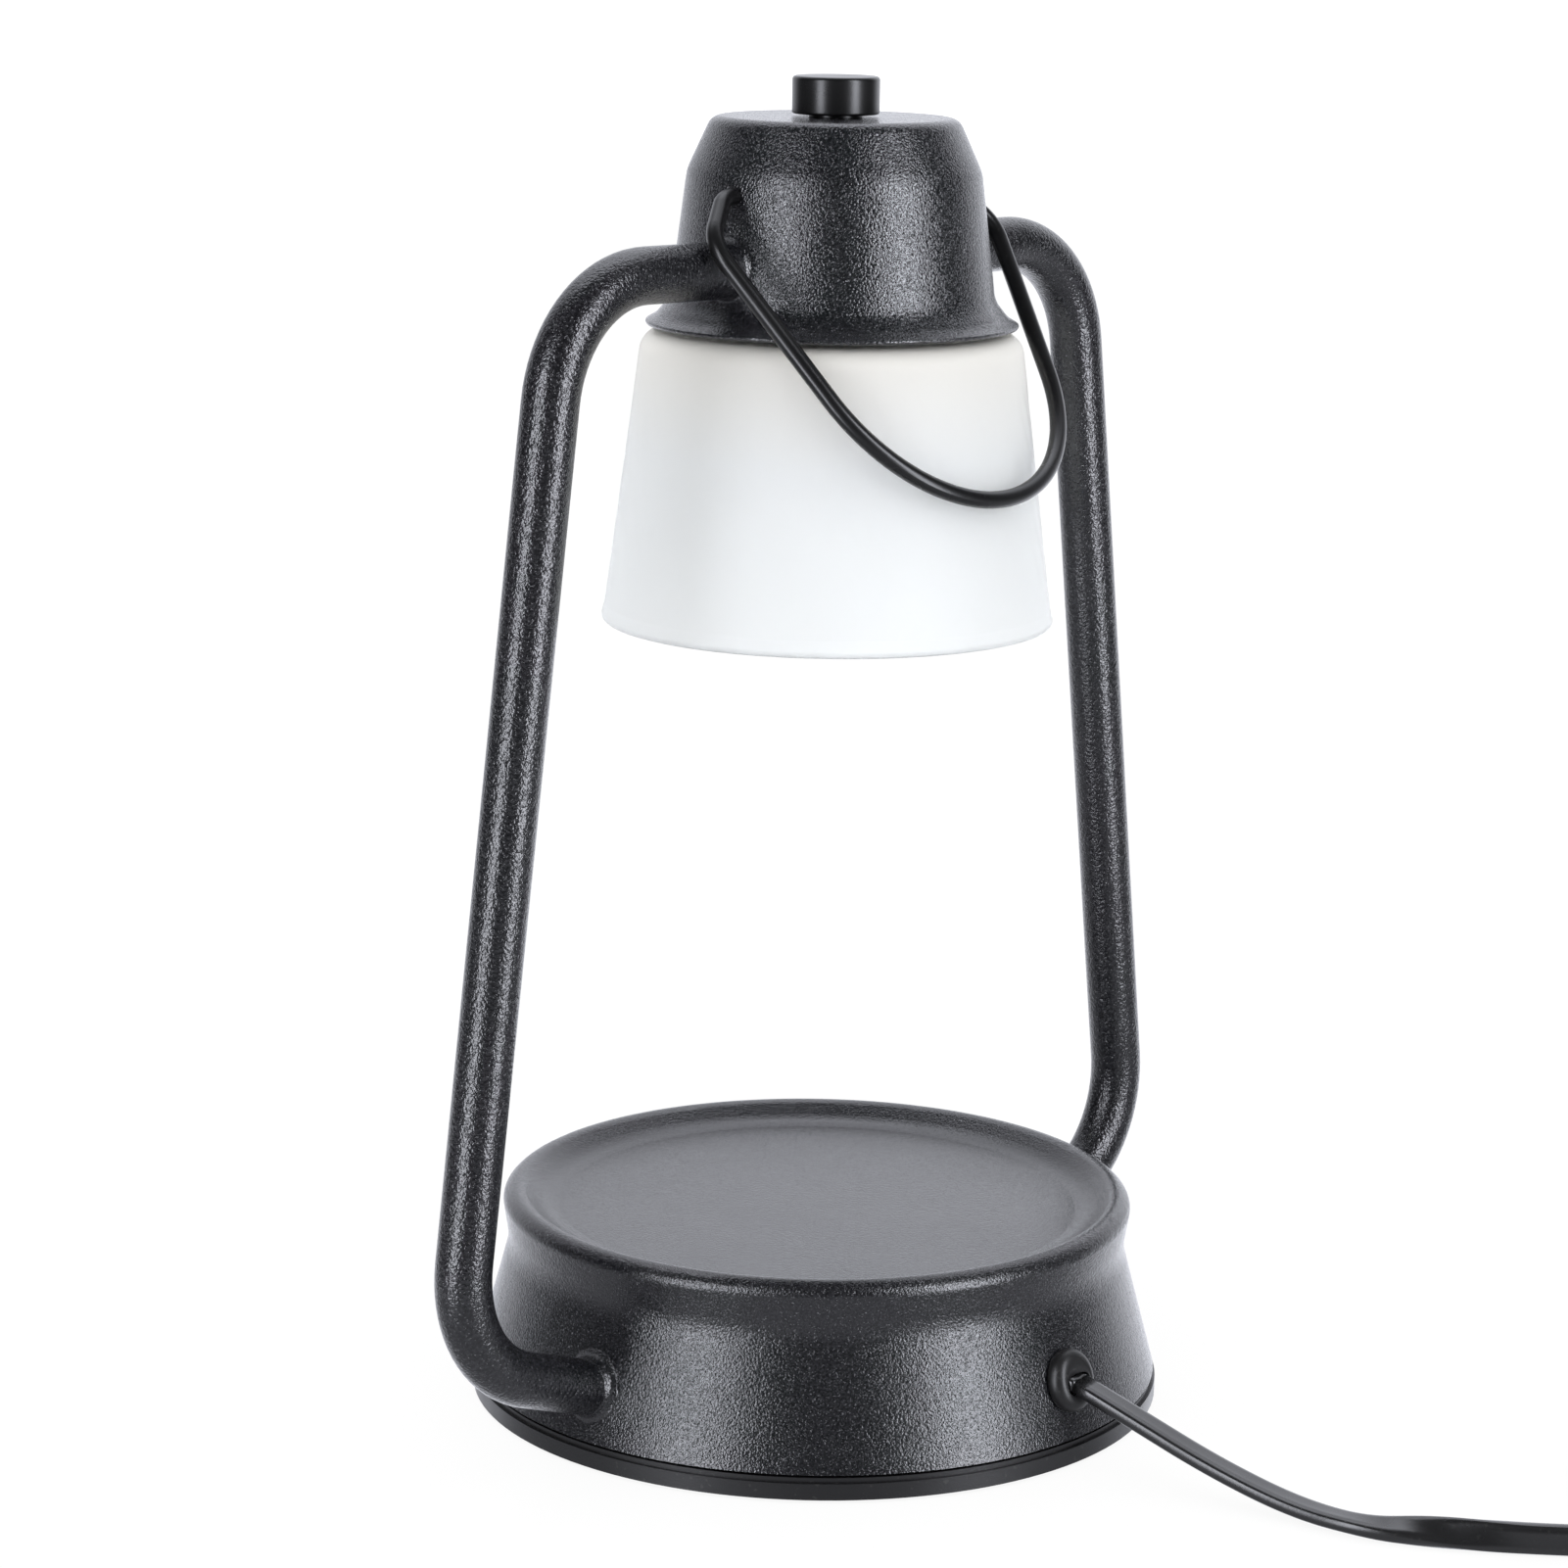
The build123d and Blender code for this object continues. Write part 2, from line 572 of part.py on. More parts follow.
bail_line = [(BAIL_END, 0), (BAIL_SHOULDER, 0), (BAIL_HALF_WIDTH, BAIL_DROP), (0, loop_point)]
bail_line += [(-across, down) for across, down in bail_line[-2::-1]]
bail_radii = [*BAIL_BENDS, BAIL_LOOP_R, *BAIL_BENDS[::-1]]
bail_handle = one(swept([on_bail(*p) for p in bail_line], bail_radii, BAIL_WIRE))

# ---------------------------------------------------------------- wires up the right tube
DOME_DROP_X = 26.4
dimmer_lug = (DIMMER_R + TERMINAL[0], -LEAD_Y, DIMMER_FLOOR + 3)


def lead(y, start, finish):
    """An insulated wire from a splice in the base, through the right tube, into the dome."""
    side = -y / abs(y)
    inside = [
        (side * SPLICE_X, SPLICE_Y[1] - 7.0, SPLICE_Z),
        *start,
        (60.0, y, SPLICE_Z + 0.4),
    ]
    climb = [(TUBE_LOW_CORNER[0], y, TUBE_LOW_CORNER[1]), (TUBE_TOP_CORNER[0], y, TUBE_TOP_CORNER[1])]
    points = inside + [(74.0, y, tube_base[1] - 0.5)] + climb + finish
    radii = [6.0] * (len(inside) - 1) + [12.0, TUBE_BEND, TUBE_BEND] + [5.0] * (len(finish) - 1)
    return one(swept(points, radii, CORE_R))


live_lead = lead(
    -LEAD_Y,
    [(SPLICE_X, -8.0, SPLICE_Z), (30.0, -5.0, SPLICE_Z + 2.0)],
    [(DOME_DROP_X, -LEAD_Y, TUBE_DOME_END[1]), (DOME_DROP_X, -LEAD_Y, dimmer_lug[2]), dimmer_lug],
)
neutral_lead = lead(
    LEAD_Y,
    [(-SPLICE_X, 2.0, SPLICE_Z), (8.0, 12.0, SPLICE_Z + 2.0), (30.0, 8.0, SPLICE_Z + 2.0)],
    [
        (DOME_DROP_X, LEAD_Y, TUBE_DOME_END[1]),
        (DOME_DROP_X, LEAD_Y, CROSS_Z),
        (PIN_PITCH, LEAD_Y, CROSS_Z),
        (PIN_PITCH, LEAD_Y, CAVITY_TOP),
    ],
)
switch_lead = rod(CORE_R, CAVITY_TOP, DIMMER_FLOOR, x=-PIN_PITCH, y=-LEAD_Y)

# ---------------------------------------------------------------- free cord, coil, tie, plug
last_run = (Vector(CORD_ROUTE[-1]) - Vector(CORD_ROUTE[-2])).normalized()
coil_centre = Vector(CORD_ROUTE[-1]) + Vector(-last_run.Y, last_run.X) * OUTER_TURN_R
coil_place = Pos(coil_centre.X, coil_centre.Y, 0)
print("coil centre", round(coil_centre.X, 1), round(coil_centre.Y, 1))
coil_corners = [(COIL_R[0], COIL_Z[0]), (COIL_R[1], COIL_Z[0])]
coil_corners += [(COIL_R[1], COIL_Z[1]), (COIL_R[0], COIL_Z[1])]
cord_coil = one(coil_place * turned(coil_corners, [3.0] * 4))


def arc_radii(runs):
    """The largest arc that each pair of neighbouring runs of a cord allows."""
    radii = []
    for before, after in zip(runs, runs[1:]):
        half_turn = radians(before.get_angle(after)) / 2
        radii.append(0.45 * min(before.length, after.length) / tan(half_turn))
    return radii


runs = [Vector(b) - Vector(a) for a, b in zip(CORD_ROUTE, CORD_ROUTE[1:])]
cord_radii = arc_radii(runs)
print("cord runs", [round(run.length, 1) for run in runs])
print("cord arc radii", [round(radius) for radius in cord_radii])
cord_path = FilletPolyline(*CORD_ROUTE, radius=cord_radii)
cord_tube = swept(CORD_ROUTE, cord_radii, CORD_R)
cord_volume = pi * CORD_R**2 * cord_path.length
print("cord volume", round(cord_tube.volume, 1), "section x length", round(cord_volume, 1))
cord = one(cord_tube - cord_coil)

tie_outline = [
    (COIL_R[0] - TIE_WALL, 0),
    (COIL_R[1] + TIE_WALL, 0),
    (COIL_R[1] + TIE_WALL, COIL_Z[1] + TIE_WALL),
    (COIL_R[0] - TIE_WALL, COIL_Z[1] + TIE_WALL),
]
tie_line = FilletPolyline(*[(r, 0, z) for r, z in tie_outline], radius=3.6, close=True)
tie_block = extrude(make_face(tie_line), TIE_WIDTH / 2, dir=(0, 1, 0), both=True)
tie_block = coil_place * Rot(0, 0, TIE_ANGLE) * tie_block
cord_tie = one(tie_block - cord_coil)

plug_z = COIL_Z[1] + PLUG_BODY[2] / 2
plug_place = coil_place * Rot(0, 0, PLUG_ANGLE) * Pos(PLUG_ALONG, PLUG_ACROSS, plug_z)
plug_body = Box(*PLUG_BODY)
plug_body = fillet(plug_body.edges(), PLUG_EDGE)
neck = Pos(-PLUG_BODY[0] / 2 - PLUG_NECK[0] / 2 + 1.0, 0, 0) * Rot(0, 90, 0)
neck *= Cone(PLUG_NECK[1], PLUG_NECK[2], PLUG_NECK[0])
plug_body = one(plug_place * (plug_body + neck))
plug_blades = []
for side in (-1, 1):
    blade = Pos((BLADE[0] - BLADE_ROOT) / 2, 0, 0) * Box(BLADE[0] + BLADE_ROOT, *BLADE[1:])
    blade -= Pos(BLADE[0] - 3.5, 0, 0) * Rot(90, 0, 0) * Cylinder(BLADE_HOLE_R, 5)
    blade = Pos(PLUG_BODY[0] / 2, side * BLADE_PITCH / 2, 0) * blade
    plug_blades.append(one(plug_place * blade))
for blade in plug_blades:
    plug_body -= blade
plug_body = one(plug_body)

# Last of the cord: it rises from the top of the coil into the plug's neck.
neck_end = -PLUG_BODY[0] / 2 - PLUG_NECK[0] + 1.0
end_route = [
    (neck_end - 33.6, 18.5, TOP_TURN_Z - plug_z),
    (neck_end - 27.1, 7.2, COIL_Z[1] + 1.5 - plug_z),
    (neck_end - 14.5, 0, 0),
    (neck_end, 0, 0),
]
end_runs = [Vector(b) - Vector(a) for a, b in zip(end_route, end_route[1:])]
end_radii = arc_radii(end_runs)
print("cord end runs", [round(run.length, 1) for run in end_runs])
print("cord end arc radii", [round(radius, 1) for radius in end_radii])
cord_end = one(plug_place * swept(end_route, end_radii, CORD_R) - cord_coil)
for point in end_route:
    place = (plug_place * Pos(*point)).position
    print("cord end point", round(place.X, 1), round(place.Y, 1), round(place.Z, 1))

# ---------------------------------------------------------------- files
write("base_housing", base_housing)
write("base_posts", *posts)
write("base_cover", base_cover)
write("foot_pad", foot_pad)
write("cover_screws", *cover_screws)
write("ballast_plate", ballast)
write("cord_grommet", cord_grommet)
write("cord_tail", cord_tail)
write("cord_clamp_base", clamp_base)
write("cord_clamp_bar", clamp_bar)
write("cord_clamp_screws", *clamp_screws)
write("wire_splices", *splices)
write("right_tube", tubes["right"])
write("left_tube", tubes["left"])
write("base_weld_beads", base_bead, mirrored(base_bead))
write("dome_weld_beads", dome_bead, mirrored(dome_bead))
write("live_lead", live_lead)
write("neutral_lead", neutral_lead)
write("switch_lead", switch_lead)
write("dome_housing", dome_housing)
write("dimmer_body", dimmer_body)
write("dimmer_shaft", dimmer_shaft)
write("dimmer_washer", dimmer_washer)
write("dimmer_nut", dimmer_nut)
write("control_knob", control_knob)
write("socket_bracket", bracket)
write("bracket_screws", *foot_screws)
write("shade_carrier", shade_carrier)
write("lamp_socket", lamp_socket)
write("socket_contacts", *contacts)
write("socket_screws", *socket_screws)
write("glass_shade", glass_shade)
write("shade_upper_gasket", upper_gasket)
write("shade_lower_gasket", lower_gasket)
write("shade_ring", shade_ring)
write("bulb_base", bulb_base)
write("bulb_pins", *bulb_pins)
write("bulb_reflector", bulb_reflector)
write("bulb_capsule", bulb_capsule)
write("bulb_lens", bulb_lens)
write("bail_handle", bail_handle)
write("cord", cord)
write("cord_coil", cord_coil)
write("cord_tie", cord_tie)
write("cord_end", cord_end)
write("plug_body", plug_body)
write("plug_blades", *plug_blades)
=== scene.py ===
import math

import bpy
import numpy as np
from mathutils import Matrix, Vector


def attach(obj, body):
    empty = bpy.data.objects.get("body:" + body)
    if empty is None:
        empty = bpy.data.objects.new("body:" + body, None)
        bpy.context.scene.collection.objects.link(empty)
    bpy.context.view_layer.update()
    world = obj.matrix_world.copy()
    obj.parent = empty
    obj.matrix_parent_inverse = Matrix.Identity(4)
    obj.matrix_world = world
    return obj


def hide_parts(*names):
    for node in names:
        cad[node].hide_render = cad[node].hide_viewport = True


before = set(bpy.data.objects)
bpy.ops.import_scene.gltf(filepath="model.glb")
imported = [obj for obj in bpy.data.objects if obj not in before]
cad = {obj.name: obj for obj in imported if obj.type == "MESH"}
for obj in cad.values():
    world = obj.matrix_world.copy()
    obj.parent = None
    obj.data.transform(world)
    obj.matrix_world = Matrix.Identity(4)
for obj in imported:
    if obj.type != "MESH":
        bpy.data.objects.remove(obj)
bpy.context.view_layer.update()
scene = bpy.context.scene


# ---------------------------------------------------------------- base housing
# The foot of the lamp: a disc of sheet steel spun into a shallow dish with a rolled rim,
# a drawn-in waist and a flared skirt. It is coated in black powder, baked to a fine pebbled
# skin, and four posts welded under the dish take the cover screws.
COAT_BLACK = (0.0035, 0.0037, 0.0058)
# The paler colour of the painted glints on the pebble tops.
COAT_PAINTED_GLINT = (0.0170, 0.0174, 0.0215)
COAT_WORN = (0.0950, 0.0950, 0.1000)
COAT_SHINE = 0.85
GLOSS_DRIFT = 38.0
PEEL_FINENESS = 2.1
PEEL_RISE = 0.35
GRAIN_FINENESS = 1.3
GRAIN_RISE = 0.8
PROUD_GRAINS = (0.70, 0.84)
# The pebble heights over which the painted glints fade in.
PAINTED_GLINT_RANGE = (0.40, 0.66)
NOISE_RANGE = (0.3, 0.7)
BASE_PEBBLE = 1900.0
DISH_RIM = (0.066, 0.070)
DISH_FLOOR = (0.0446, 0.0451)
DISH_RISE = 0.60
DISH_DULLING = 0.03
SCRATCH_STRETCH = (1.0, 1.0, 0.04)
SCRATCH_DEPTH = 0.00002
DULL_CLOUDS = 120.0


def joined(tree, output, target):
    """Links one node's output to another node's input."""
    tree.links.new(output, target)


def made(tree, kind, **values):
    """A node of a kind in a tree, with some of its properties set."""
    node = tree.nodes.new(kind)
    for name, value in values.items():
        setattr(node, name, value)
    return node


def noise(tree, place, scale, detail=2.0, rough=0.5):
    """A noise texture on the given coordinates. The scale is in features to the metre."""
    texture = made(tree, "ShaderNodeTexNoise")
    texture.inputs["Detail"].default_value = detail
    texture.inputs["Roughness"].default_value = rough
    if isinstance(scale, float):
        texture.inputs["Scale"].default_value = scale
    else:
        joined(tree, scale, texture.inputs["Scale"])
    joined(tree, place, texture.inputs["Vector"])
    return texture.outputs["Fac"]


def spread(tree, value, source, target=(0.0, 1.0)):
    """The value carried from one range to another, and held at the ends."""
    ramp = made(tree, "ShaderNodeMapRange")
    joined(tree, value, ramp.inputs["Value"])
    for name, number in zip(("From Min", "From Max", "To Min", "To Max"), (*source, *target)):
        ramp.inputs[name].default_value = number
    return ramp.outputs["Result"]


def worked(tree, operation, first, second):
    """One arithmetic step between two values, each a socket or a plain number."""
    step = made(tree, "ShaderNodeMath", operation=operation)
    for slot, value in zip(step.inputs, (first, second)):
        if isinstance(value, (int, float)):
            slot.default_value = value
        else:
            joined(tree, value, slot)
    return step.outputs["Value"]


def tinted(tree, factor, first, second):
    """A colour mixed by a factor between two others, each a socket or a plain colour."""
    mix = made(tree, "ShaderNodeMix", data_type="RGBA")
    joined(tree, factor, mix.inputs["Factor"])
    for slot, colour in ((mix.inputs["A"], first), (mix.inputs["B"], second)):
        if isinstance(colour, tuple):
            slot.default_value = (*colour, 1.0)
        else:
            joined(tree, colour, slot)
    return mix.outputs["Result"]


def height_of(tree, place):
    """The height of a place above the table."""
    split = made(tree, "ShaderNodeSeparateXYZ")
    joined(tree, place, split.inputs["Vector"])
    return split.outputs["Z"]


def new_group(name, inputs, outputs):
    """An empty shader node group with named number or colour sockets, and its two end nodes."""
    group = bpy.data.node_groups.new(name, "ShaderNodeTree")
    for way, sockets in (("INPUT", inputs), ("OUTPUT", outputs)):
        for label, kind in sockets:
            group.interface.new_socket(name=label, in_out=way, socket_type="NodeSocket" + kind)
    return group, made(group, "NodeGroupInput"), made(group, "NodeGroupOutput")


def powder_skin():
    """Baked powder coat: rounded pebbles with painted glints on their tops, a paler colour that stands
    in for the light the pebbles catch, a finer orange peel between them, a few proud worn grains,
    and slow drifts of gloss where the powder lay thicker."""
    group, given, result = new_group(
        "Powder skin",
        [("Place", "Vector"), ("Pebbles per metre", "Float"), ("Depth", "Float")],
        [("Height", "Float"), ("Gloss drift", "Float"), ("Painted glints", "Float"), ("Wear", "Float")],
    )
    place = given.outputs["Place"]
    count = given.outputs["Pebbles per metre"]
    pebbles = noise(group, place, count, detail=1.0, rough=0.4)
    peel = noise(group, place, worked(group, "MULTIPLY", count, PEEL_FINENESS), detail=0.0)
    grains = noise(group, place, worked(group, "MULTIPLY", count, GRAIN_FINENESS), detail=0.0)
    proud = spread(group, grains, PROUD_GRAINS)
    level = worked(group, "ADD", pebbles, worked(group, "MULTIPLY", peel, PEEL_RISE))
    level = worked(group, "ADD", level, worked(group, "MULTIPLY", proud, GRAIN_RISE))
    joined(group, worked(group, "MULTIPLY", level, given.outputs["Depth"]), result.inputs["Height"])
    drift = noise(group, place, GLOSS_DRIFT, rough=0.6)
    joined(group, drift, result.inputs["Gloss drift"])
    # Painted glint: the pebble tops are painted paler, as if they caught the light.
    joined(group, spread(group, pebbles, PAINTED_GLINT_RANGE), result.inputs["Painted glints"])
    joined(group, worked(group, "MULTIPLY", proud, drift), result.inputs["Wear"])
    return group


def new_finish(name, colour, roughness, metallic=0.0, **sockets):
    """A material with one Principled shader whose plain values are set on its own sockets."""
    material = bpy.data.materials.new(name)
    material.use_nodes = True
    material.diffuse_color = (*colour, 1.0)
    tree = material.node_tree
    shader = tree.nodes["Principled BSDF"]
    shader.inputs["Base Color"].default_value = (*colour, 1.0)
    shader.inputs["Roughness"].default_value = roughness
    shader.inputs["Metallic"].default_value = metallic
    for label, value in sockets.items():
        shader.inputs[label.replace("_", " ")].default_value = value
    place = made(tree, "ShaderNodeTexCoord").outputs["Object"]
    return material, tree, shader, place


def roughened(tree, shader, drift, rough):
    """Lets a shader's roughness drift between two values with a noise, which mostly keeps to
    the middle of its range. Returns the roughness."""
    roughness = spread(tree, drift, NOISE_RANGE, rough)
    joined(tree, roughness, shader.inputs["Roughness"])
    return roughness


def raised(tree, shader, height, depth, strength=1.0):
    """Feeds a height through a bump node into a shader's normal. The depth is in metres."""
    bump = made(tree, "ShaderNodeBump")
    bump.inputs["Strength"].default_value = strength
    bump.inputs["Distance"].default_value = depth
    joined(tree, height, bump.inputs["Height"])
    joined(tree, bump.outputs["Normal"], shader.inputs["Normal"])


def dressed(material, *names):
    """Gives CAD nodes their finish."""
    for name in names:
        cad[name].data.materials.clear()
        cad[name].data.materials.append(material)


powder = powder_skin()


def powder_finish(name, pebbles, depth, rough, shine=COAT_SHINE):
    """A powder-coated steel finish. Returns the material's parts, the skin's node and the
    roughness."""
    material, tree, shader, place = new_finish(name, COAT_BLACK, rough[0], Specular_IOR_Level=shine)
    skin = made(tree, "ShaderNodeGroup", node_tree=powder)
    joined(tree, place, skin.inputs["Place"])
    skin.inputs["Pebbles per metre"].default_value = pebbles
    skin.inputs["Depth"].default_value = 1.0
    # Painted glint: the coat is mixed towards a paler colour on the pebble tops, where they would catch the
    # light.
    coat = tinted(tree, skin.outputs["Painted glints"], COAT_BLACK, COAT_PAINTED_GLINT)
    joined(tree, tinted(tree, skin.outputs["Wear"], coat, COAT_WORN), shader.inputs["Base Color"])
    roughness = roughened(tree, shader, skin.outputs["Gloss drift"], rough)
    raised(tree, shader, skin.outputs["Height"], depth)
    return material, tree, shader, place, skin, roughness


def on_dish(tree, place):
    """One on the dish inside its rim and nought on all the rest: a soft edge on the distance
    from the lamp's axis, times a soft edge on the height."""
    flat = made(tree, "ShaderNodeVectorMath", operation="MULTIPLY")
    flat.inputs[1].default_value = (1.0, 1.0, 0.0)
    joined(tree, place, flat.inputs[0])
    radius = made(tree, "ShaderNodeVectorMath", operation="LENGTH")
    joined(tree, flat.outputs["Vector"], radius.inputs[0])
    within = spread(tree, radius.outputs["Value"], DISH_RIM, (1.0, 0.0))
    above = spread(tree, height_of(tree, place), DISH_FLOOR)
    return worked(tree, "MULTIPLY", within, above)


base_coat, tree, shader, place, skin, roughness = powder_finish(
    "Base powder coat", BASE_PEBBLE, depth=0.00014, rough=(0.21, 0.24)
)
# Jars have rubbed the dish: inside its rim the pebbles are lower and the skin is a little duller.
rubbed = on_dish(tree, place)
joined(tree, spread(tree, rubbed, (0.0, 1.0), (1.0, DISH_RISE)), skin.inputs["Depth"])
duller = worked(tree, "MULTIPLY", rubbed, DISH_DULLING)
joined(tree, worked(tree, "ADD", roughness, duller), shader.inputs["Roughness"])
dressed(base_coat, "base_housing")


def metal_grain():
    """Plated or drawn metal: fine scratches along one axis, and faint cloudy dulling."""
    group, given, result = new_group(
        "Metal grain",
        [("Place", "Vector"), ("Lines per metre", "Float")],
        [("Height", "Float"), ("Dulling", "Float")],
    )
    stretch = made(group, "ShaderNodeVectorMath", operation="MULTIPLY")
    stretch.inputs[1].default_value = SCRATCH_STRETCH
    joined(group, given.outputs["Place"], stretch.inputs[0])
    lines = noise(group, stretch.outputs["Vector"], given.outputs["Lines per metre"], rough=0.6)
    joined(group, lines, result.inputs["Height"])
    clouds = noise(group, given.outputs["Place"], DULL_CLOUDS, detail=3.0, rough=0.6)
    joined(group, clouds, result.inputs["Dulling"])
    return group


grain = metal_grain()


def metal_finish(name, bright, dull, rough, lines=2600.0):
    """A bare or plated metal whose colour and roughness drift between two values."""
    material, tree, shader, place = new_finish(name, bright, rough[0], metallic=1.0)
    node = made(tree, "ShaderNodeGroup", node_tree=grain)
    joined(tree, place, node.inputs["Place"])
    node.inputs["Lines per metre"].default_value = lines
    joined(tree, tinted(tree, node.outputs["Dulling"], bright, dull), shader.inputs["Base Color"])
    roughened(tree, shader, node.outputs["Dulling"], rough)
    raised(tree, shader, node.outputs["Height"], SCRATCH_DEPTH, strength=0.6)
    return material


zinc = metal_finish("Zinc plate", bright=(0.62, 0.63, 0.64), dull=(0.48, 0.49, 0.50), rough=(0.26, 0.42))
dressed(zinc, "base_posts")


# ---------------------------------------------------------------- base cover and its fixings
# A plastic cover closes the skirt from below and shows as two thin steps round the foot.
# Four screws hold it, a foam ring in its groove keeps the lamp from sliding, and a cast
# plate inside it keeps a top-heavy lamp upright.
COVER_BLACK = (0.0120, 0.0120, 0.0135)
FOAM_BLACK = (0.0220, 0.0220, 0.0230)
CAST_GREY = (0.16, 0.15, 0.14)
CAST_DARK = (0.10, 0.09, 0.085)
FLOW_MARKS = 60.0
DUST_SPECKS = 900.0
DUST_RANGE = (0.74, 0.80)


def moulded_skin():
    """Moulded plastic or rubber: a matt spark texture, soft flow marks and a little dust."""
    group, given, result = new_group(
        "Moulded skin",
        [("Place", "Vector"), ("Texture per metre", "Float")],
        [("Height", "Float"), ("Flow", "Float"), ("Dust", "Float")],
    )
    place = given.outputs["Place"]
    spark = noise(group, place, given.outputs["Texture per metre"], rough=0.6)
    joined(group, spark, result.inputs["Height"])
    joined(group, noise(group, place, FLOW_MARKS), result.inputs["Flow"])
    specks = noise(group, place, DUST_SPECKS, detail=0.0)
    joined(group, spread(group, specks, DUST_RANGE), result.inputs["Dust"])
    return group


moulded = moulded_skin()


def plastic_finish(name, colour, dusty, rough, texture=2200.0, depth=0.00003, shine=0.5):
    """Moulded plastic or rubber whose colour lifts a little on dust, and whose roughness
    drifts with its flow marks."""
    material, tree, shader, place = new_finish(name, colour, rough[0], Specular_IOR_Level=shine)
    node = made(tree, "ShaderNodeGroup", node_tree=moulded)
    joined(tree, place, node.inputs["Place"])
    node.inputs["Texture per metre"].default_value = texture
    joined(tree, tinted(tree, node.outputs["Dust"], colour, dusty), shader.inputs["Base Color"])
    roughened(tree, shader, node.outputs["Flow"], rough)
    raised(tree, shader, node.outputs["Height"], depth)
    return material


cover_plastic = plastic_finish("Cover plastic", COVER_BLACK, dusty=(0.03, 0.03, 0.03), rough=(0.30, 0.42))
foam = plastic_finish(
    "Foot foam", FOAM_BLACK, dusty=(0.05, 0.05, 0.05), rough=(0.85, 0.95), texture=1500.0, depth=0.0002
)
cast_plate = metal_finish("Cast ballast", CAST_GREY, CAST_DARK, rough=(0.55, 0.75), lines=900.0)
dressed(cover_plastic, "base_cover")
dressed(foam, "foot_pad")
dressed(zinc, "cover_screws")
dressed(cast_plate, "ballast_plate")


# ---------------------------------------------------------------- cord entry
# An oval rubber grommet lines the hole in the skirt, and the flat cord comes out through it.
# Inside, the cord's sheath is held by a plastic clamp with two screws, and its cores run
# into crimped splices.
RUBBER_BLACK = (0.0120, 0.0120, 0.0130)
VINYL_BLACK = (0.0100, 0.0100, 0.0110)
CORD_WIDTH = 0.0070
CORD_THICK = 0.0035
CORD_SIDES = 28
CORD_CORNER = 0.55
DIP_SHARE = 0.16
DIP_WIDTH = 0.0007
CORD_EXIT = (-0.0026, -0.0836, 0.0200)
CORD_AHEAD = (0.1375, -0.9393, -0.3150)
TAIL_BEND = 0.0028
TAIL_ROUND = 0.012
TAIL_STEP = 0.0010
FLAT_END = -0.0690
FLAT_FADE = 0.0065
SHEATH_RADIUS = 0.0027
SHEATH_END = -0.0520
CORE_RADIUS = 0.0012
CORE_ROUND = 0.004
CORES_APART = (0.0013, 0.0024)
CORES_PART = (-0.002, 0.005)
SPLICE = (0.0090, -0.0420, 0.0180)
SPLICE_DEPTH = 0.011
GROMMET_PLACE = (-0.00250, -0.07964, 0.0199)
GROMMET_LEAN = math.radians(15.22)
GROMMET_TURN = math.radians(1.8)
GROMMET_WIDE = 0.0069
GROMMET_TALL = 0.0075
COLLAR_ROUND = 0.0028
COLLAR_RISE = 0.0012
COLLAR_TUCK = -0.45
COLLAR_STEPS = 12
SLEEVE_SHARES = (0.80, 0.80, 0.97, 0.97)
SLEEVE_DEPTHS = (0.0, -0.0016, -0.0016, -0.0036)
HOLE_WIDE = 0.0039
HOLE_TALL = 0.0024
HOLE_CORNER = 0.7
HOLE_DEPTHS = (-0.0036, -0.0010, 0.0015, 0.0034, 0.0039, COLLAR_RISE + COLLAR_ROUND)
HOLE_FLARE = (1.0, 1.0, 1.0, 1.0, 1.02, 1.06)
grommet_rubber = plastic_finish(
    "Grommet rubber", RUBBER_BLACK, dusty=(0.03, 0.03, 0.03), rough=(0.34, 0.46), texture=1800.0
)
sheath_vinyl = plastic_finish(
    "Cord vinyl",
    VINYL_BLACK,
    dusty=(0.02, 0.02, 0.02),
    rough=(0.24, 0.32),
    texture=900.0,
    depth=0.00002,
    shine=0.8,
)
splice_nylon = plastic_finish("Splice nylon", (0.30, 0.31, 0.33), dusty=(0.36, 0.36, 0.37), rough=(0.35, 0.5))


def fitted(name, grids, material, slot, *nodes, ends="joined"):
    """One object made of grids of points, with quads between neighbouring points. The second
    index always runs round and closes. The first one is joined or capped at its ends. It
    takes the place of CAD nodes on the lamp's stand."""
    points, faces, caps = [], [], []
    for grid in grids:
        rows, columns = grid.shape[:2]
        index = np.arange(rows * columns).reshape(rows, columns) + sum(len(part) for part in points)
        if ends == "capped":
            caps += [len(faces), len(faces) + 1]
            faces += [index[0].tolist(), index[-1, ::-1].tolist()]
        else:
            index = np.vstack([index, index[:1]])
        index = np.hstack([index, index[:, :1]])
        quads = np.stack([index[:-1, :-1], index[1:, :-1], index[1:, 1:], index[:-1, 1:]], axis=-1)
        faces += quads.reshape(-1, 4).tolist()
        points.append(grid.reshape(-1, 3))
    mesh = bpy.data.meshes.new(name)
    mesh.from_pydata(np.vstack(points).tolist(), [], faces)
    mesh.shade_smooth()
    for cap in caps:
        mesh.polygons[cap].use_smooth = False
    mesh.materials.append(material)
    piece = bpy.data.objects.new(name, mesh)
    scene.collection.objects.link(piece)
    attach(piece, "lamp_stand")
    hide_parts(*nodes)
    return piece


def once_round(count):
    """Even angles from nought up to one step short of a full turn."""
    return np.linspace(0, 2 * math.pi, count, endpoint=False)


def squarish(wave, power):
    """A cosine or sine raised to a power, with its sign kept: a lower power makes a squarer
    corner on the oval that it draws."""
    return np.sign(wave) * np.abs(wave) ** power


def lengths_along(points):
    """The length of a line of points from its start to each of them."""
    return np.r_[0, np.cumsum(np.linalg.norm(np.diff(points, axis=0), axis=1))]


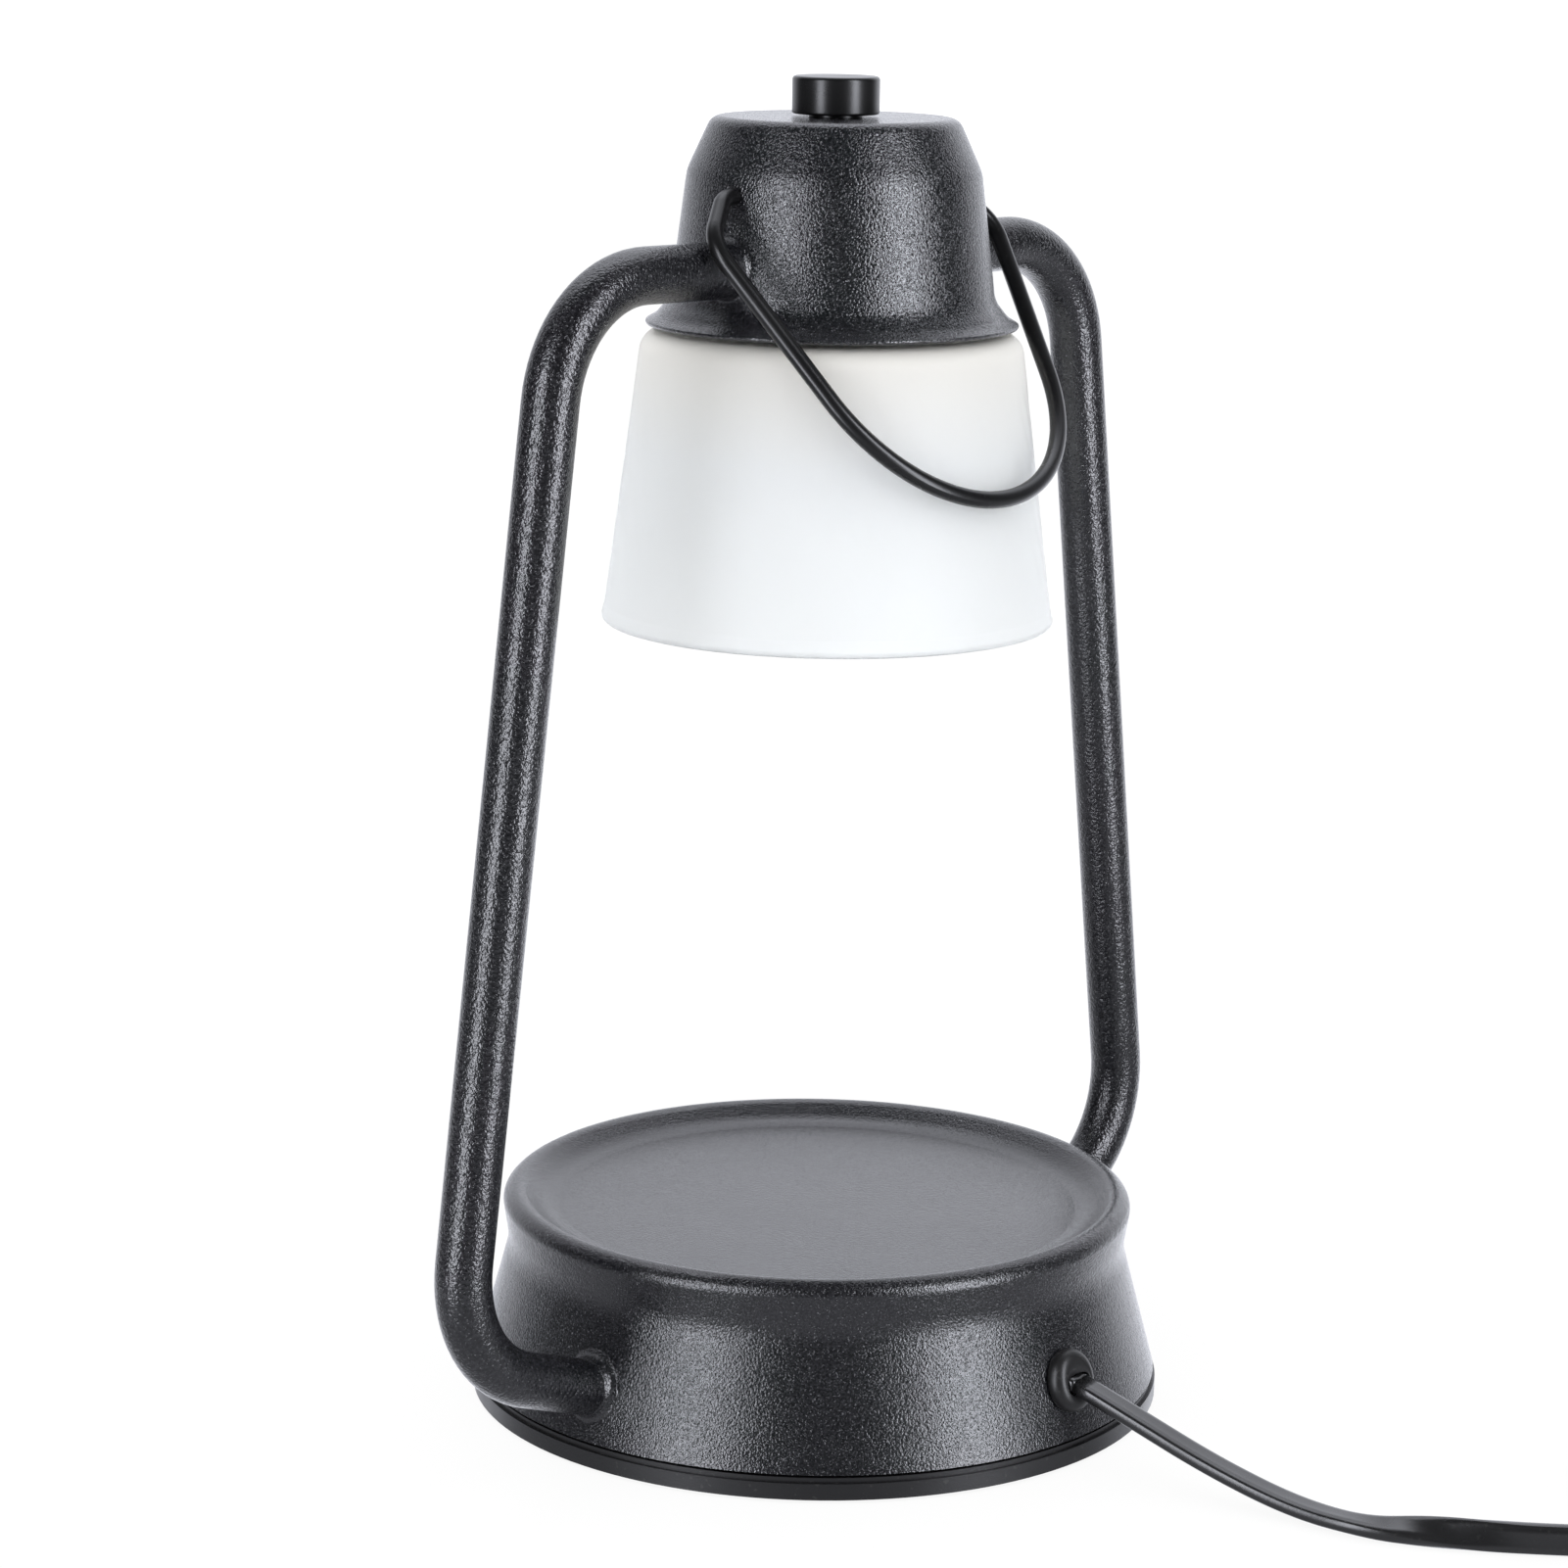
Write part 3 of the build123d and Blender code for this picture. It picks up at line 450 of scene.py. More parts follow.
def rounded(corners, radii, step=0.0006):
    """Straight runs with a tangent arc at each corner, as rows of points. An arc lies in the
    plane of its two runs and is swept about its centre from one tangent point to the other."""
    corners = np.array(corners, float)
    parts = [corners[:1]]
    for before, corner, after, radius in zip(corners, corners[1:], corners[2:], radii):
        arrive = (corner - before) / np.linalg.norm(corner - before)
        leave = (after - corner) / np.linalg.norm(after - corner)
        turn = math.acos(min(1.0, arrive @ leave))
        inward = leave - arrive * (arrive @ leave)
        inward /= max(np.linalg.norm(inward), 1e-9)
        start = corner - arrive * radius * math.tan(turn / 2)
        sweep = np.linspace(0, turn, max(3, int(turn * radius / step) + 2))[:, None]
        parts.append(start + radius * (np.sin(sweep) * arrive + (1 - np.cos(sweep)) * inward))
    parts.append(corners[-1:])
    return np.vstack(parts)


def filled_in(profile, step):
    """The same profile with points added at even spacing along its long runs."""
    lengths = lengths_along(profile)
    wanted = np.union1d(lengths, np.arange(0, lengths[-1], step))
    return np.column_stack([np.interp(wanted, lengths, column) for column in profile.T])


def cord_section():
    """The cord's outline is a rounded bar, and a narrow dip along the middle of both flat
    sides parts the two cores: a bell curve taken off the thickness. Returns (across, through)
    pairs."""
    angle = once_round(CORD_SIDES)
    across = squarish(np.cos(angle), CORD_CORNER) * CORD_WIDTH / 2
    through = squarish(np.sin(angle), CORD_CORNER) * CORD_THICK / 2
    through = through * (1 - DIP_SHARE * np.exp(-((across / DIP_WIDTH) ** 2)))
    return np.column_stack([across, through])


def swept_section(path, section, roll=0.0):
    """A section carried along a path. Across starts level and square to the path, and both
    directions are rolled about the path by one angle, or by an angle for each point."""
    ahead = np.gradient(path, axis=0)
    ahead /= np.linalg.norm(ahead, axis=1)[:, None]
    level = np.cross(ahead, (0.0, 0.0, 1.0))
    level /= np.linalg.norm(level, axis=1)[:, None]
    upright = np.cross(level, ahead)
    roll = np.broadcast_to(roll, len(path))[:, None]
    c, s = np.cos(roll), np.sin(roll)
    wide, thin = level * c + upright * s, upright * c - level * s
    return path[:, None] + wide[:, None] * section[..., :1] + thin[:, None] * section[..., 1:]


def tail_grids():
    """The cord inside the base. Its flat section becomes a round one before the clamp, by an
    even mix of the two outlines, and its two cores part and go to their splices."""
    turn = np.subtract(CORD_EXIT, np.multiply(CORD_AHEAD, TAIL_BEND))
    line = filled_in(rounded([CORD_EXIT, turn, (turn[0], SHEATH_END, turn[2])], [TAIL_ROUND]), TAIL_STEP)
    angle = once_round(CORD_SIDES)
    circle = np.column_stack([np.cos(angle), np.sin(angle)])
    flat = np.clip((FLAT_END - line[:, 1]) / FLAT_FADE, 0, 1)[:, None, None]
    grids = [swept_section(line, cord_section() * flat + circle * SHEATH_RADIUS * (1 - flat))]
    for side in (-1, 1):
        corners = [
            (turn[0] + side * CORES_APART[0], SHEATH_END + CORES_PART[0], turn[2]),
            (turn[0] + side * CORES_APART[1], SHEATH_END + CORES_PART[1], turn[2]),
            (side * SPLICE[0], SPLICE[1], SPLICE[2]),
            (side * SPLICE[0], SPLICE[1] + SPLICE_DEPTH, SPLICE[2]),
        ]
        core = filled_in(rounded(corners, [CORE_ROUND, CORE_ROUND]), TAIL_STEP)
        grids.append(swept_section(core, circle[::2] * CORE_RADIUS))
    return line, grids


def grommet_grid(line, columns):
    """The grommet's skin in rows from the hole's mouth over the round collar and the sleeve
    in the wall to its back, and along the hole. The collar's rise above the skirt follows a
    circle, and the hole keeps round the cord's line all the way through."""
    aside = np.array([math.cos(GROMMET_TURN), -math.sin(GROMMET_TURN), 0.0])
    inward = np.array([-aside[1], aside[0], 0.0]) * math.sin(GROMMET_LEAN)
    above = inward + (0.0, 0.0, math.cos(GROMMET_LEAN))
    out = np.cross(aside, above)
    c, s = np.cos(once_round(columns)), np.sin(once_round(columns))
    arc = np.linspace(math.pi / 2, COLLAR_TUCK, COLLAR_STEPS)
    crown = GROMMET_TALL - COLLAR_ROUND
    share = np.r_[(crown + COLLAR_ROUND * np.cos(arc)) / GROMMET_TALL, SLEEVE_SHARES][:, None]
    rise = np.r_[COLLAR_RISE + COLLAR_ROUND * np.sin(arc), SLEEVE_DEPTHS][:, None]
    skin = np.stack([share * c * GROMMET_WIDE, share * s * GROMMET_TALL, rise + 0 * c], -1)
    near = line - GROMMET_PLACE
    depth, sideways, upward = near @ out, near @ aside, near @ above
    flare = np.array(HOLE_FLARE)[:, None]
    u = np.interp(HOLE_DEPTHS, depth[::-1], sideways[::-1])[:, None]
    u = u + flare * HOLE_WIDE * squarish(c, HOLE_CORNER)
    v = np.interp(HOLE_DEPTHS, depth[::-1], upward[::-1])[:, None]
    v = v + flare * HOLE_TALL * squarish(s, HOLE_CORNER)
    hole = np.stack([u, v, np.array(HOLE_DEPTHS)[:, None] + 0 * c], -1)
    return np.concatenate([hole[-1:], skin, hole[:-1]]) @ np.array([aside, above, out]) + GROMMET_PLACE


tail_line, tail = tail_grids()
grommet = grommet_grid(tail_line, columns=72)
fitted("cord_grommet_oval", [grommet], grommet_rubber, "rubber_black", "cord_grommet")
fitted("cord_tail_flat", tail, sheath_vinyl, "cord_black", "cord_tail", ends="capped")
dressed(cover_plastic, "cord_clamp_base", "cord_clamp_bar")
dressed(zinc, "cord_clamp_screws")
dressed(splice_nylon, "wire_splices")


# ---------------------------------------------------------------- frame tubes
# Two lengths of half-inch steel tube, each bent twice, stand on either side and carry the
# dome. Their powder coat is coarser than the base's, with proud grains that catch the light.
TUBE_PEBBLE = 1350.0
tube_coat = powder_finish("Tube powder coat", TUBE_PEBBLE, depth=0.00019, rough=(0.225, 0.255))[0]
dressed(tube_coat, "right_tube", "left_tube")


# ---------------------------------------------------------------- weld beads
# Each tube end is welded to its shell all round. The bead is dressed to a smooth hollow
# collar, a little wavy, and coated with the rest.
TUBE_RADIUS = 0.0065
BASE_LEGS = (0.0026, 0.0021)
DOME_LEGS = (0.0016, 0.0014)
BEAD_SAG = 0.30
BEAD_RIPPLES = ((0.05, 7, 1.0), (0.03, 17, 0.0))
BEAD_HOLLOW = 0.34
BEAD_SUNK = 0.0005
BEAD_STEPS = 96
FACE_STEPS = 9
BASE_WELD = ((0.0754, 0.0168), (-0.9415, -0.3371), (0.0750, 0.0371), (0.0833, 0.0066))
DOME_WELD = ((0.0371, 0.2749), (-0.9999, -0.0137), (0.0344, 0.2959), (0.0381, 0.2662))


def on_cone(around, weld):
    """Where lines parallel to the tube's axis meet the shell. A line starts beside the axis
    by an offset, and the shell is a cone: its radius falls evenly with height. Setting the
    line's own radius equal to the cone's gives a quadratic, and its nearer root is taken."""
    (start_x, start_z), (ahead_x, ahead_z), (top_r, top_z), (low_r, low_z) = weld
    slope = (low_r - top_r) / (top_z - low_z)
    x, y, z = start_x + around[:, 0], around[:, 1], start_z + around[:, 2]
    cone = top_r + (top_z - z) * slope
    a = ahead_x**2 - (slope * ahead_z) ** 2
    b = 2 * (x * ahead_x + cone * slope * ahead_z)
    c = x**2 + y**2 - cone**2
    along = (-b - np.sqrt(b**2 - 4 * a * c)) / (2 * a)
    return np.column_stack([x + along * ahead_x, y, z + along * ahead_z])


def bead(weld, legs):
    """A ring of weld round the tube. Its face is a quadratic curve from a toe on the tube to
    a toe on the shell, pulled in towards the root. Both toes swell in slow ripples, and the
    molten metal sagged, so that the ring is wider below the tube."""
    angle = once_round(BEAD_STEPS)
    ahead = np.array([weld[1][0], 0.0, weld[1][1]])
    up = np.array([-weld[1][1], 0.0, weld[1][0]])
    round_tube = np.cos(angle)[:, None] * up + np.sin(angle)[:, None] * np.array([0.0, 1.0, 0.0])
    swell = 1 - BEAD_SAG * np.cos(angle)
    for size, waves, start in BEAD_RIPPLES:
        swell = swell + size * np.sin(waves * angle + start)
    swell = swell[:, None]
    root = on_cone(round_tube * TUBE_RADIUS, weld)
    tube_toe = root - ahead * legs[0] * swell
    shell_toe = on_cone(round_tube * (TUBE_RADIUS + legs[1] * swell), weld)
    pull = root + (tube_toe + shell_toe - 2 * root) * 0.5 * BEAD_HOLLOW
    part = np.linspace(0, 1, FACE_STEPS)[:, None, None]
    face = (1 - part) ** 2 * tube_toe + 2 * part * (1 - part) * pull + part**2 * shell_toe
    under_shell = shell_toe + ahead * BEAD_SUNK
    under_root = root + ahead * BEAD_SUNK - round_tube * BEAD_SUNK
    under_tube = tube_toe - round_tube * BEAD_SUNK
    return np.concatenate([face, under_shell[None], under_root[None], under_tube[None]]).transpose(1, 0, 2)


def both_sides(grid):
    """A grid and its copy turned half round the lamp's axis."""
    return [grid, grid * (-1.0, -1.0, 1.0)]


base_beads = both_sides(bead(BASE_WELD, BASE_LEGS))
fitted("base_weld_collars", base_beads, base_coat, "powder_black", "base_weld_beads")


# ---------------------------------------------------------------- dome
# The cap of the lantern, spun from thinner sheet: a flat top, a rounded shoulder, straight
# sides that lean in a little, and a lip that flares out over the glass.
dome_coat = powder_finish("Dome powder coat", BASE_PEBBLE, depth=0.00019, rough=(0.15, 0.18), shine=1.0)[0]
dressed(dome_coat, "dome_housing")
dome_beads = both_sides(bead(DOME_WELD, DOME_LEGS))
fitted("dome_weld_collars", dome_beads, dome_coat, "powder_black", "dome_weld_beads")


# ---------------------------------------------------------------- dimmer and knob
# A rotary dimmer sits under the dome's top on a threaded bushing, with a washer and a nut
# above. A solid turned knob with a satin black skin is pushed onto its shaft.
KNOB_BLACK = (0.0060, 0.0060, 0.0068)
dimmer_case = plastic_finish("Dimmer case", (0.02, 0.02, 0.022), dusty=(0.04, 0.04, 0.04), rough=(0.4, 0.55))
nickel = metal_finish("Nickel plate", bright=(0.72, 0.70, 0.66), dull=(0.60, 0.58, 0.55), rough=(0.16, 0.28))
satin_black = plastic_finish(
    "Satin black paint",
    KNOB_BLACK,
    dusty=(0.012, 0.012, 0.012),
    rough=(0.26, 0.32),
    texture=3000.0,
    depth=0.000008,
)
dressed(dimmer_case, "dimmer_body")
dressed(satin_black, "dimmer_shaft", "dimmer_washer", "dimmer_nut", "control_knob")


# ---------------------------------------------------------------- bracket, carrier and socket
# A bent steel strap hangs from the dimmer's bushing and holds a spun cup. The cup's flange
# closes the dome and seats the glass, and a ceramic bayonet socket is screwed inside it.
carrier_black = plastic_finish(
    "Carrier paint", (0.014, 0.014, 0.015), dusty=(0.03, 0.03, 0.03), rough=(0.4, 0.5)
)
steatite = plastic_finish(
    "Steatite", (0.78, 0.76, 0.70), dusty=(0.70, 0.67, 0.60), rough=(0.55, 0.7), texture=1500.0, depth=0.00004
)
brass = metal_finish("Brass", bright=(0.80, 0.60, 0.28), dull=(0.62, 0.46, 0.22), rough=(0.22, 0.36))
dressed(zinc, "socket_bracket", "bracket_screws", "socket_screws")
dressed(carrier_black, "shade_carrier", "shade_ring")
dressed(steatite, "lamp_socket", "bulb_base")
dressed(brass, "socket_contacts")


# ---------------------------------------------------------------- glass shade
# A blown and pressed shade of white glass, etched to a satin frost. Its top has a hole for
# the cup, a threaded ring clamps it between two silicone gaskets, and the mould's slight
# spiral shows as faint slanting streaks. The lip is fire-polished round.
GLASS_TOP = 0.2588
GLASS_HOLE = 0.0206
GLASS_SHOULDER = 0.04455
GLASS_WAIST = (0.05285, 0.1940)
GLASS_LIP = (0.0539, 0.1900)
GLASS_WALL = 0.0028
SHOULDER_WALL = GLASS_WALL * 0.88
OUTER_ROUNDS = (0.0055, 0.0040)
INNER_ROUNDS = (0.0028, 0.0060)
LIP_ROUND = GLASS_WALL * 0.42
STREAK_DEPTH = 0.00007
STREAK_ENDS = (0.1960, GLASS_TOP - 0.006)
STREAK_FADE = 0.010
STREAK_LEAN = 34.0
STREAK_WAVES = ((46, 14, 0), (5, -3, 0), (3, 0, 2))
FROST_WHITE = (0.90, 0.925, 0.93)
FROST_THIN = (0.945, 0.965, 0.97)
FROST_THICK = (0.97, 0.985, 0.99)
FROST_ROUGH = (0.56, 0.68)
FROST_CLOUDS = 26.0
FROST_ETCH = 5200.0
FROST_DEPTH = 0.000012
# The cream of the painted show-through near the glass's top, and the heights over which it fades in.
PAINTED_SHOW_THROUGH = (0.985, 0.972, 0.935)
SHOW_THROUGH_HEIGHTS = (0.232, 0.256)


def shade_grid(outer, inner, columns):
    """The shade as a closed wall: down the outer profile, round the lip and up the inner one,
    turned about Z. The outside swells in and out by a product of sine waves round the shade,
    which lean as they go up, and which fade out at both ends."""
    loop = np.vstack([outer, inner[::-1]])
    angle = once_round(columns)
    radius = loop[:, 0][:, None] * np.ones(columns)
    height = loop[:, 1][:, None] * np.ones(columns)
    foot, head = STREAK_ENDS
    side = np.clip((head - height) / STREAK_FADE, 0, 1) * np.clip((height - foot) / STREAK_FADE, 0, 1)
    outside = (np.arange(len(loop)) < len(outer))[:, None]
    wave = 1.0
    for count, slant, start in STREAK_WAVES:
        wave = wave * np.sin(count * angle + slant * height * STREAK_LEAN + start)
    radius = radius - outside * side * STREAK_DEPTH * (1 + wave)
    return np.stack([radius * np.cos(angle), radius * np.sin(angle), height], axis=-1)


lip_middle = (GLASS_LIP[0] - GLASS_WALL / 2, GLASS_LIP[1])
outer_wall = rounded(
    [(GLASS_HOLE, GLASS_TOP), (GLASS_SHOULDER, GLASS_TOP), GLASS_WAIST, GLASS_LIP, lip_middle],
    [*OUTER_ROUNDS, LIP_ROUND],
)
inner_wall = rounded(
    [
        (GLASS_HOLE, GLASS_TOP - GLASS_WALL),
        (GLASS_SHOULDER - SHOULDER_WALL, GLASS_TOP - GLASS_WALL),
        (GLASS_WAIST[0] - GLASS_WALL, GLASS_WAIST[1]),
        (GLASS_LIP[0] - GLASS_WALL, GLASS_LIP[1]),
        lip_middle,
    ],
    [*INNER_ROUNDS, LIP_ROUND],
)
shade = shade_grid(filled_in(outer_wall, 0.0012), filled_in(inner_wall, 0.0025), columns=384)

frost, tree, shader, place = new_finish(
    "Frosted glass", FROST_WHITE, FROST_ROUGH[0], IOR=1.45, Transmission_Weight=0.40
)
clouds = noise(tree, place, FROST_CLOUDS, detail=3.0, rough=0.55)
# Near the top the glass's colour is painted cream: a painted show-through of the ceramic inside, standing in
# for the light that comes through the frost.
show_through = spread(tree, height_of(tree, place), SHOW_THROUGH_HEIGHTS)
cloudy = tinted(tree, clouds, FROST_THIN, FROST_THICK)
joined(tree, tinted(tree, show_through, cloudy, PAINTED_SHOW_THROUGH), shader.inputs["Base Color"])
roughened(tree, shader, clouds, FROST_ROUGH)
raised(tree, shader, noise(tree, place, FROST_ETCH, rough=0.6), FROST_DEPTH)
fitted("glass_shade_frosted", [shade], frost, "frosted_glass", "glass_shade")

silicone = plastic_finish("Silicone", (0.55, 0.55, 0.52), dusty=(0.6, 0.6, 0.58), rough=(0.5, 0.6))
dressed(silicone, "shade_upper_gasket", "shade_lower_gasket")


# ---------------------------------------------------------------- bulb
# A reflector bulb with a ceramic base: two headed pins lock into the socket by a short
# twist, a coated glass reflector holds a small halogen capsule, and a clear lens closes it.
CLEAR_ROUGH = (0.02, 0.06)
LENS_DULLING = 90.0
LENS_RIPPLES = 420.0
LENS_DEPTH = 0.00008
clear, tree, shader, place = new_finish(
    "Clear glass", (0.96, 0.97, 0.97), CLEAR_ROUGH[0], IOR=1.5, Transmission_Weight=0.9
)
roughened(tree, shader, noise(tree, place, LENS_DULLING), CLEAR_ROUGH)
raised(tree, shader, noise(tree, place, LENS_RIPPLES, detail=1.0, rough=0.4), LENS_DEPTH)
mirror_coat = metal_finish(
    "Reflector coat", bright=(0.82, 0.82, 0.86), dull=(0.74, 0.72, 0.80), rough=(0.10, 0.20), lines=700.0
)
dressed(nickel, "bulb_pins")
dressed(mirror_coat, "bulb_reflector")
dressed(clear, "bulb_lens", "bulb_capsule")


# ---------------------------------------------------------------- bail handle
# A carrying bail bent from 4 mm wire and painted satin black. Its two ends turn in through
# holes in the dome, and it hangs forward until its loop nearly meets the glass.
dressed(satin_black, "bail_handle")


# ---------------------------------------------------------------- wires
# Insulated leads run from the splices up the right tube: black to the dimmer, white to the
# socket, and a short red one between the two.
LEADS = [
    ("live_lead", "Black lead", (0.02, 0.02, 0.02), (0.04, 0.04, 0.04)),
    ("neutral_lead", "White lead", (0.75, 0.75, 0.72), (0.65, 0.65, 0.62)),
    ("switch_lead", "Red lead", (0.42, 0.03, 0.02), (0.48, 0.05, 0.04)),
]
for node, name, colour, dusty in LEADS:
    dressed(plastic_finish(name, colour, dusty, rough=(0.4, 0.5)), node)


# ---------------------------------------------------------------- mains cord
# A flat two-core vinyl cord, 7.0 by 3.5 mm, pinched along its middle. It leaves the grommet
# lying flat, sinks to the table, rolls onto its edge and goes into a coil of almost six turns.
ROUTE = [
    CORD_EXIT,
    (-0.0007, -0.0985, 0.0148),
    (0.0018, -0.1190, 0.0078),
    (0.0043, -0.1402, 0.0028),
    (0.0062, -0.1582, 0.0024),
    (0.0117, -0.1708, 0.0034),
    (0.0209, -0.1883, 0.0039),
    (0.0351, -0.2065, 0.0038),
    (0.0505, -0.2270, 0.0038),
    (0.0590, -0.2412, 0.0044),
]
COIL_CENTRE = (0.0975, -0.2181)
COIL_START = math.radians(-149.0)
TURN_RADII = (0.0449, 0.0410, 0.0371, 0.0371, 0.0410, 0.0449)
TURN_HEIGHTS = (0.0047, 0.0047, 0.0047, 0.0121, 0.0121, 0.0121)
TURNS = 5.9
TURN_POINTS = 24
PLUG_ANGLE = math.radians(-25.0)
PLUG_MIDDLE = (0.0246, -0.0355, 0.0225)
NECK_END = -0.0320
END_ROUTE = [
    (NECK_END - 0.0271, 0.0072, -0.0050),
    (NECK_END - 0.0145, 0.0, 0.0),
    (NECK_END + 0.0020, 0.0, 0.0),
]
SPLINE_STEPS = 8
EDGE_TURN = (-0.150, -0.192)
FLAT_AGAIN = 0.034
FLAT_OVER = 0.028


def eased(part):
    """A smooth step from nought to one: three times the square less twice the cube."""
    return part**2 * (3 - 2 * part)


def coil_points():
    """The coil's turns: each turn keeps its radius and height, and moves to the next turn's
    over its last sixth, by a smooth step."""
    turn = np.arange(1, int(TURNS * TURN_POINTS) + 1) / TURN_POINTS
    whole = np.minimum(turn.astype(int), len(TURN_RADII) - 1)
    after = np.minimum(whole + 1, len(TURN_RADII) - 1)
    shift = eased(np.clip((turn - whole - 5 / 6) * 6, 0, 1))
    radii, heights = np.array(TURN_RADII), np.array(TURN_HEIGHTS)
    radius = radii[whole] + (radii[after] - radii[whole]) * shift
    height = heights[whole] + (heights[after] - heights[whole]) * shift
    angle = COIL_START + turn * 2 * math.pi
    x = COIL_CENTRE[0] + radius * np.cos(angle)
    y = COIL_CENTRE[1] + radius * np.sin(angle)
    return np.column_stack([x, y, height])


def from_plug(points):
    """Points given in the plug's own directions, carried to where the plug lies on the coil."""
    points = np.array(points, float) + PLUG_MIDDLE
    turned = points @ np.array(Matrix.Rotation(PLUG_ANGLE, 3, "Z").transposed())
    return turned + (COIL_CENTRE[0], COIL_CENTRE[1], 0.0)


cord_line = bpy.data.curves.new("cord_line", "CURVE")
cord_line.dimensions = "3D"
cord_line.resolution_u = SPLINE_STEPS
controls = np.vstack([ROUTE, coil_points(), from_plug(END_ROUTE)])
spline = cord_line.splines.new("NURBS")
spline.points.add(len(controls) - 1)
spline.points.foreach_set("co", np.column_stack([controls, np.ones(len(controls))]).ravel())
spline.order_u = 3
spline.use_endpoint_u = True
guide = bpy.data.objects.new("cord_line", cord_line)
followed = bpy.data.meshes.new_from_object(guide)
path = np.empty(len(followed.vertices) * 3)
followed.vertices.foreach_get("co", path)
path = path.reshape(-1, 3)
bpy.data.objects.remove(guide)

# The cord rolls a quarter turn onto its edge between two places on the route, and back again
# before the plug.
run = lengths_along(path)
route_y = path[: len(ROUTE) * SPLINE_STEPS, 1]
edge_start, edge_end = (run[np.argmin(np.abs(route_y - place_y))] for place_y in EDGE_TURN)
onto_edge = np.clip((run - edge_start) / (edge_end - edge_start), 0, 1)
off_edge = np.clip((run - run[-1] + FLAT_AGAIN) / FLAT_OVER, 0, 1)
roll = math.pi / 2 * (eased(off_edge) - eased(onto_edge))
cord_tube = swept_section(path, cord_section(), roll)
cord_nodes = ("cord", "cord_coil", "cord_end")
cord = fitted("mains_cord", [cord_tube], sheath_vinyl, "cord_black", *cord_nodes, ends="capped")
tie_plastic = plastic_finish("Tie plastic", (0.016, 0.016, 0.017), dusty=(0.03, 0.03, 0.03), rough=(0.4, 0.5))
dressed(tie_plastic, "cord_tie")


# ---------------------------------------------------------------- plug
# A moulded vinyl plug lies on the coil. Its grip is pinched in at the sides, and a tapered
# neck with rings cut into it lets the cord bend. Two flat blades are moulded in.
PLUG_SECTIONS = [
    (0.0130, 0.0108, 0.0053),
    (0.0127, 0.0117, 0.0062),
    (0.0118, 0.0120, 0.0065),
    (0.0070, 0.0119, 0.0065),
    (0.0010, 0.0106, 0.0063),
    (-0.0050, 0.0101, 0.0062),
    (-0.0090, 0.0096, 0.0062),
    (-0.0120, 0.0076, 0.0060),
    (-0.0135, 0.0062, 0.0056),
]
GRIP_STEPS = 33
GRIP_CORNERS = (0.42, 0.55)
NECK_STEPS = 61
NECK_GAP = 0.0006
NECK_RADII = (0.0058, 0.0044)
NECK_FLATNESS = 0.92
NECK_CORNERS = (0.8, 1.0)
NECK_RINGS = 6
RING_DEPTH = 0.0008


def plug_outline():
    """The plug's half width and half height at each place along it: the grip's sections
    joined by even steps, then a neck that narrows evenly, with rings cut by a raised
    cosine. The corners go from squarish on the grip to round on the neck."""
    grip = np.array(PLUG_SECTIONS)
    neck = np.linspace(grip[-1, 0] - NECK_GAP, NECK_END, NECK_STEPS)
    part = (neck - neck[0]) / (neck[-1] - neck[0])
    wave = 0.5 - 0.5 * np.cos(part * NECK_RINGS * 2 * math.pi)
    radius = NECK_RADII[0] + (NECK_RADII[1] - NECK_RADII[0]) * part - RING_DEPTH * wave
    steps = np.linspace(0, len(grip) - 1, GRIP_STEPS)
    along, wide, tall = (np.interp(steps, np.arange(len(grip)), column) for column in grip.T)
    width, height = np.r_[wide, radius], np.r_[tall, radius * NECK_FLATNESS]
    square = np.r_[np.linspace(*GRIP_CORNERS, GRIP_STEPS), np.linspace(*NECK_CORNERS, NECK_STEPS)]
    return np.r_[along, neck][:, None], width[:, None], height[:, None], square[:, None]


def plug_grid(columns):
    """Squarish ovals along the plug: each side follows a cosine or sine raised to a power,
    where a lower power makes a squarer corner."""
    place, width, height, square = plug_outline()
    angle = once_round(columns)
    y = width * squarish(np.cos(angle), square)
    z = height * squarish(np.sin(angle), square)
    points = np.stack([place + 0 * y, -y, z], axis=-1)
    return from_plug(points.reshape(-1, 3)).reshape(points.shape)


moulding = plug_grid(columns=72)
plug = fitted("plug_moulding", [moulding], sheath_vinyl, "plastic_black", "plug_body", ends="capped")
dressed(nickel, "plug_blades")


# ---------------------------------------------------------------- studio
# A pale floor and a white surround. Two tall soft boxes stand in front, left and right of the
# camera. Reflections show no floor, and in them the surround is dark apart from a white wall
# behind the lamp, dimmer on the left, a bright ceiling above that wall, and a dim table.
FLOOR_SIZE = 6.0
FLOOR_GREY = (0.66, 0.66, 0.66)
FLOOR_GLOW = 1.06
FLOOR_GLOW_SHARE = 0.86
SOFT_BOXES = [
    ("left soft box", 41.0, 7.0, 0.95, (0.26, 1.04), 8.3),
    ("right soft box", -52.0, 11.0, 0.95, (0.30, 1.18), 9.5),
]
SOFT_BOX_MIDDLE = Vector((0.0, 0.0, 0.16))
FILL = 1.28
WALL_LEVEL = 1.32
WALL_EDGE = (-0.72, -0.40)
WALL_SIDES = (-0.5, 0.1)
WALL_LEFT = 0.65
CEILING_LEVEL = 3.4
CEILING_EDGE = (0.62, 0.97)
CEILING_FRONT = (-0.45, -0.10)
TABLE_LEVELS = (0.45, 0.05)
TABLE_EDGE = (-0.30, -0.02)
PLAIN_WHITE = (1.0, 1.0, 1.0)
COOL_WHITE = (0.96, 0.98, 1.06)
CAMERA_PLACE = (-0.76694, -0.65204, 0.36554)
CAMERA_HEADING = math.radians(49.084)
CAMERA_PITCH = 0.2112
CAMERA_ROLL = 0.0155
CAMERA_LENS = 98.6


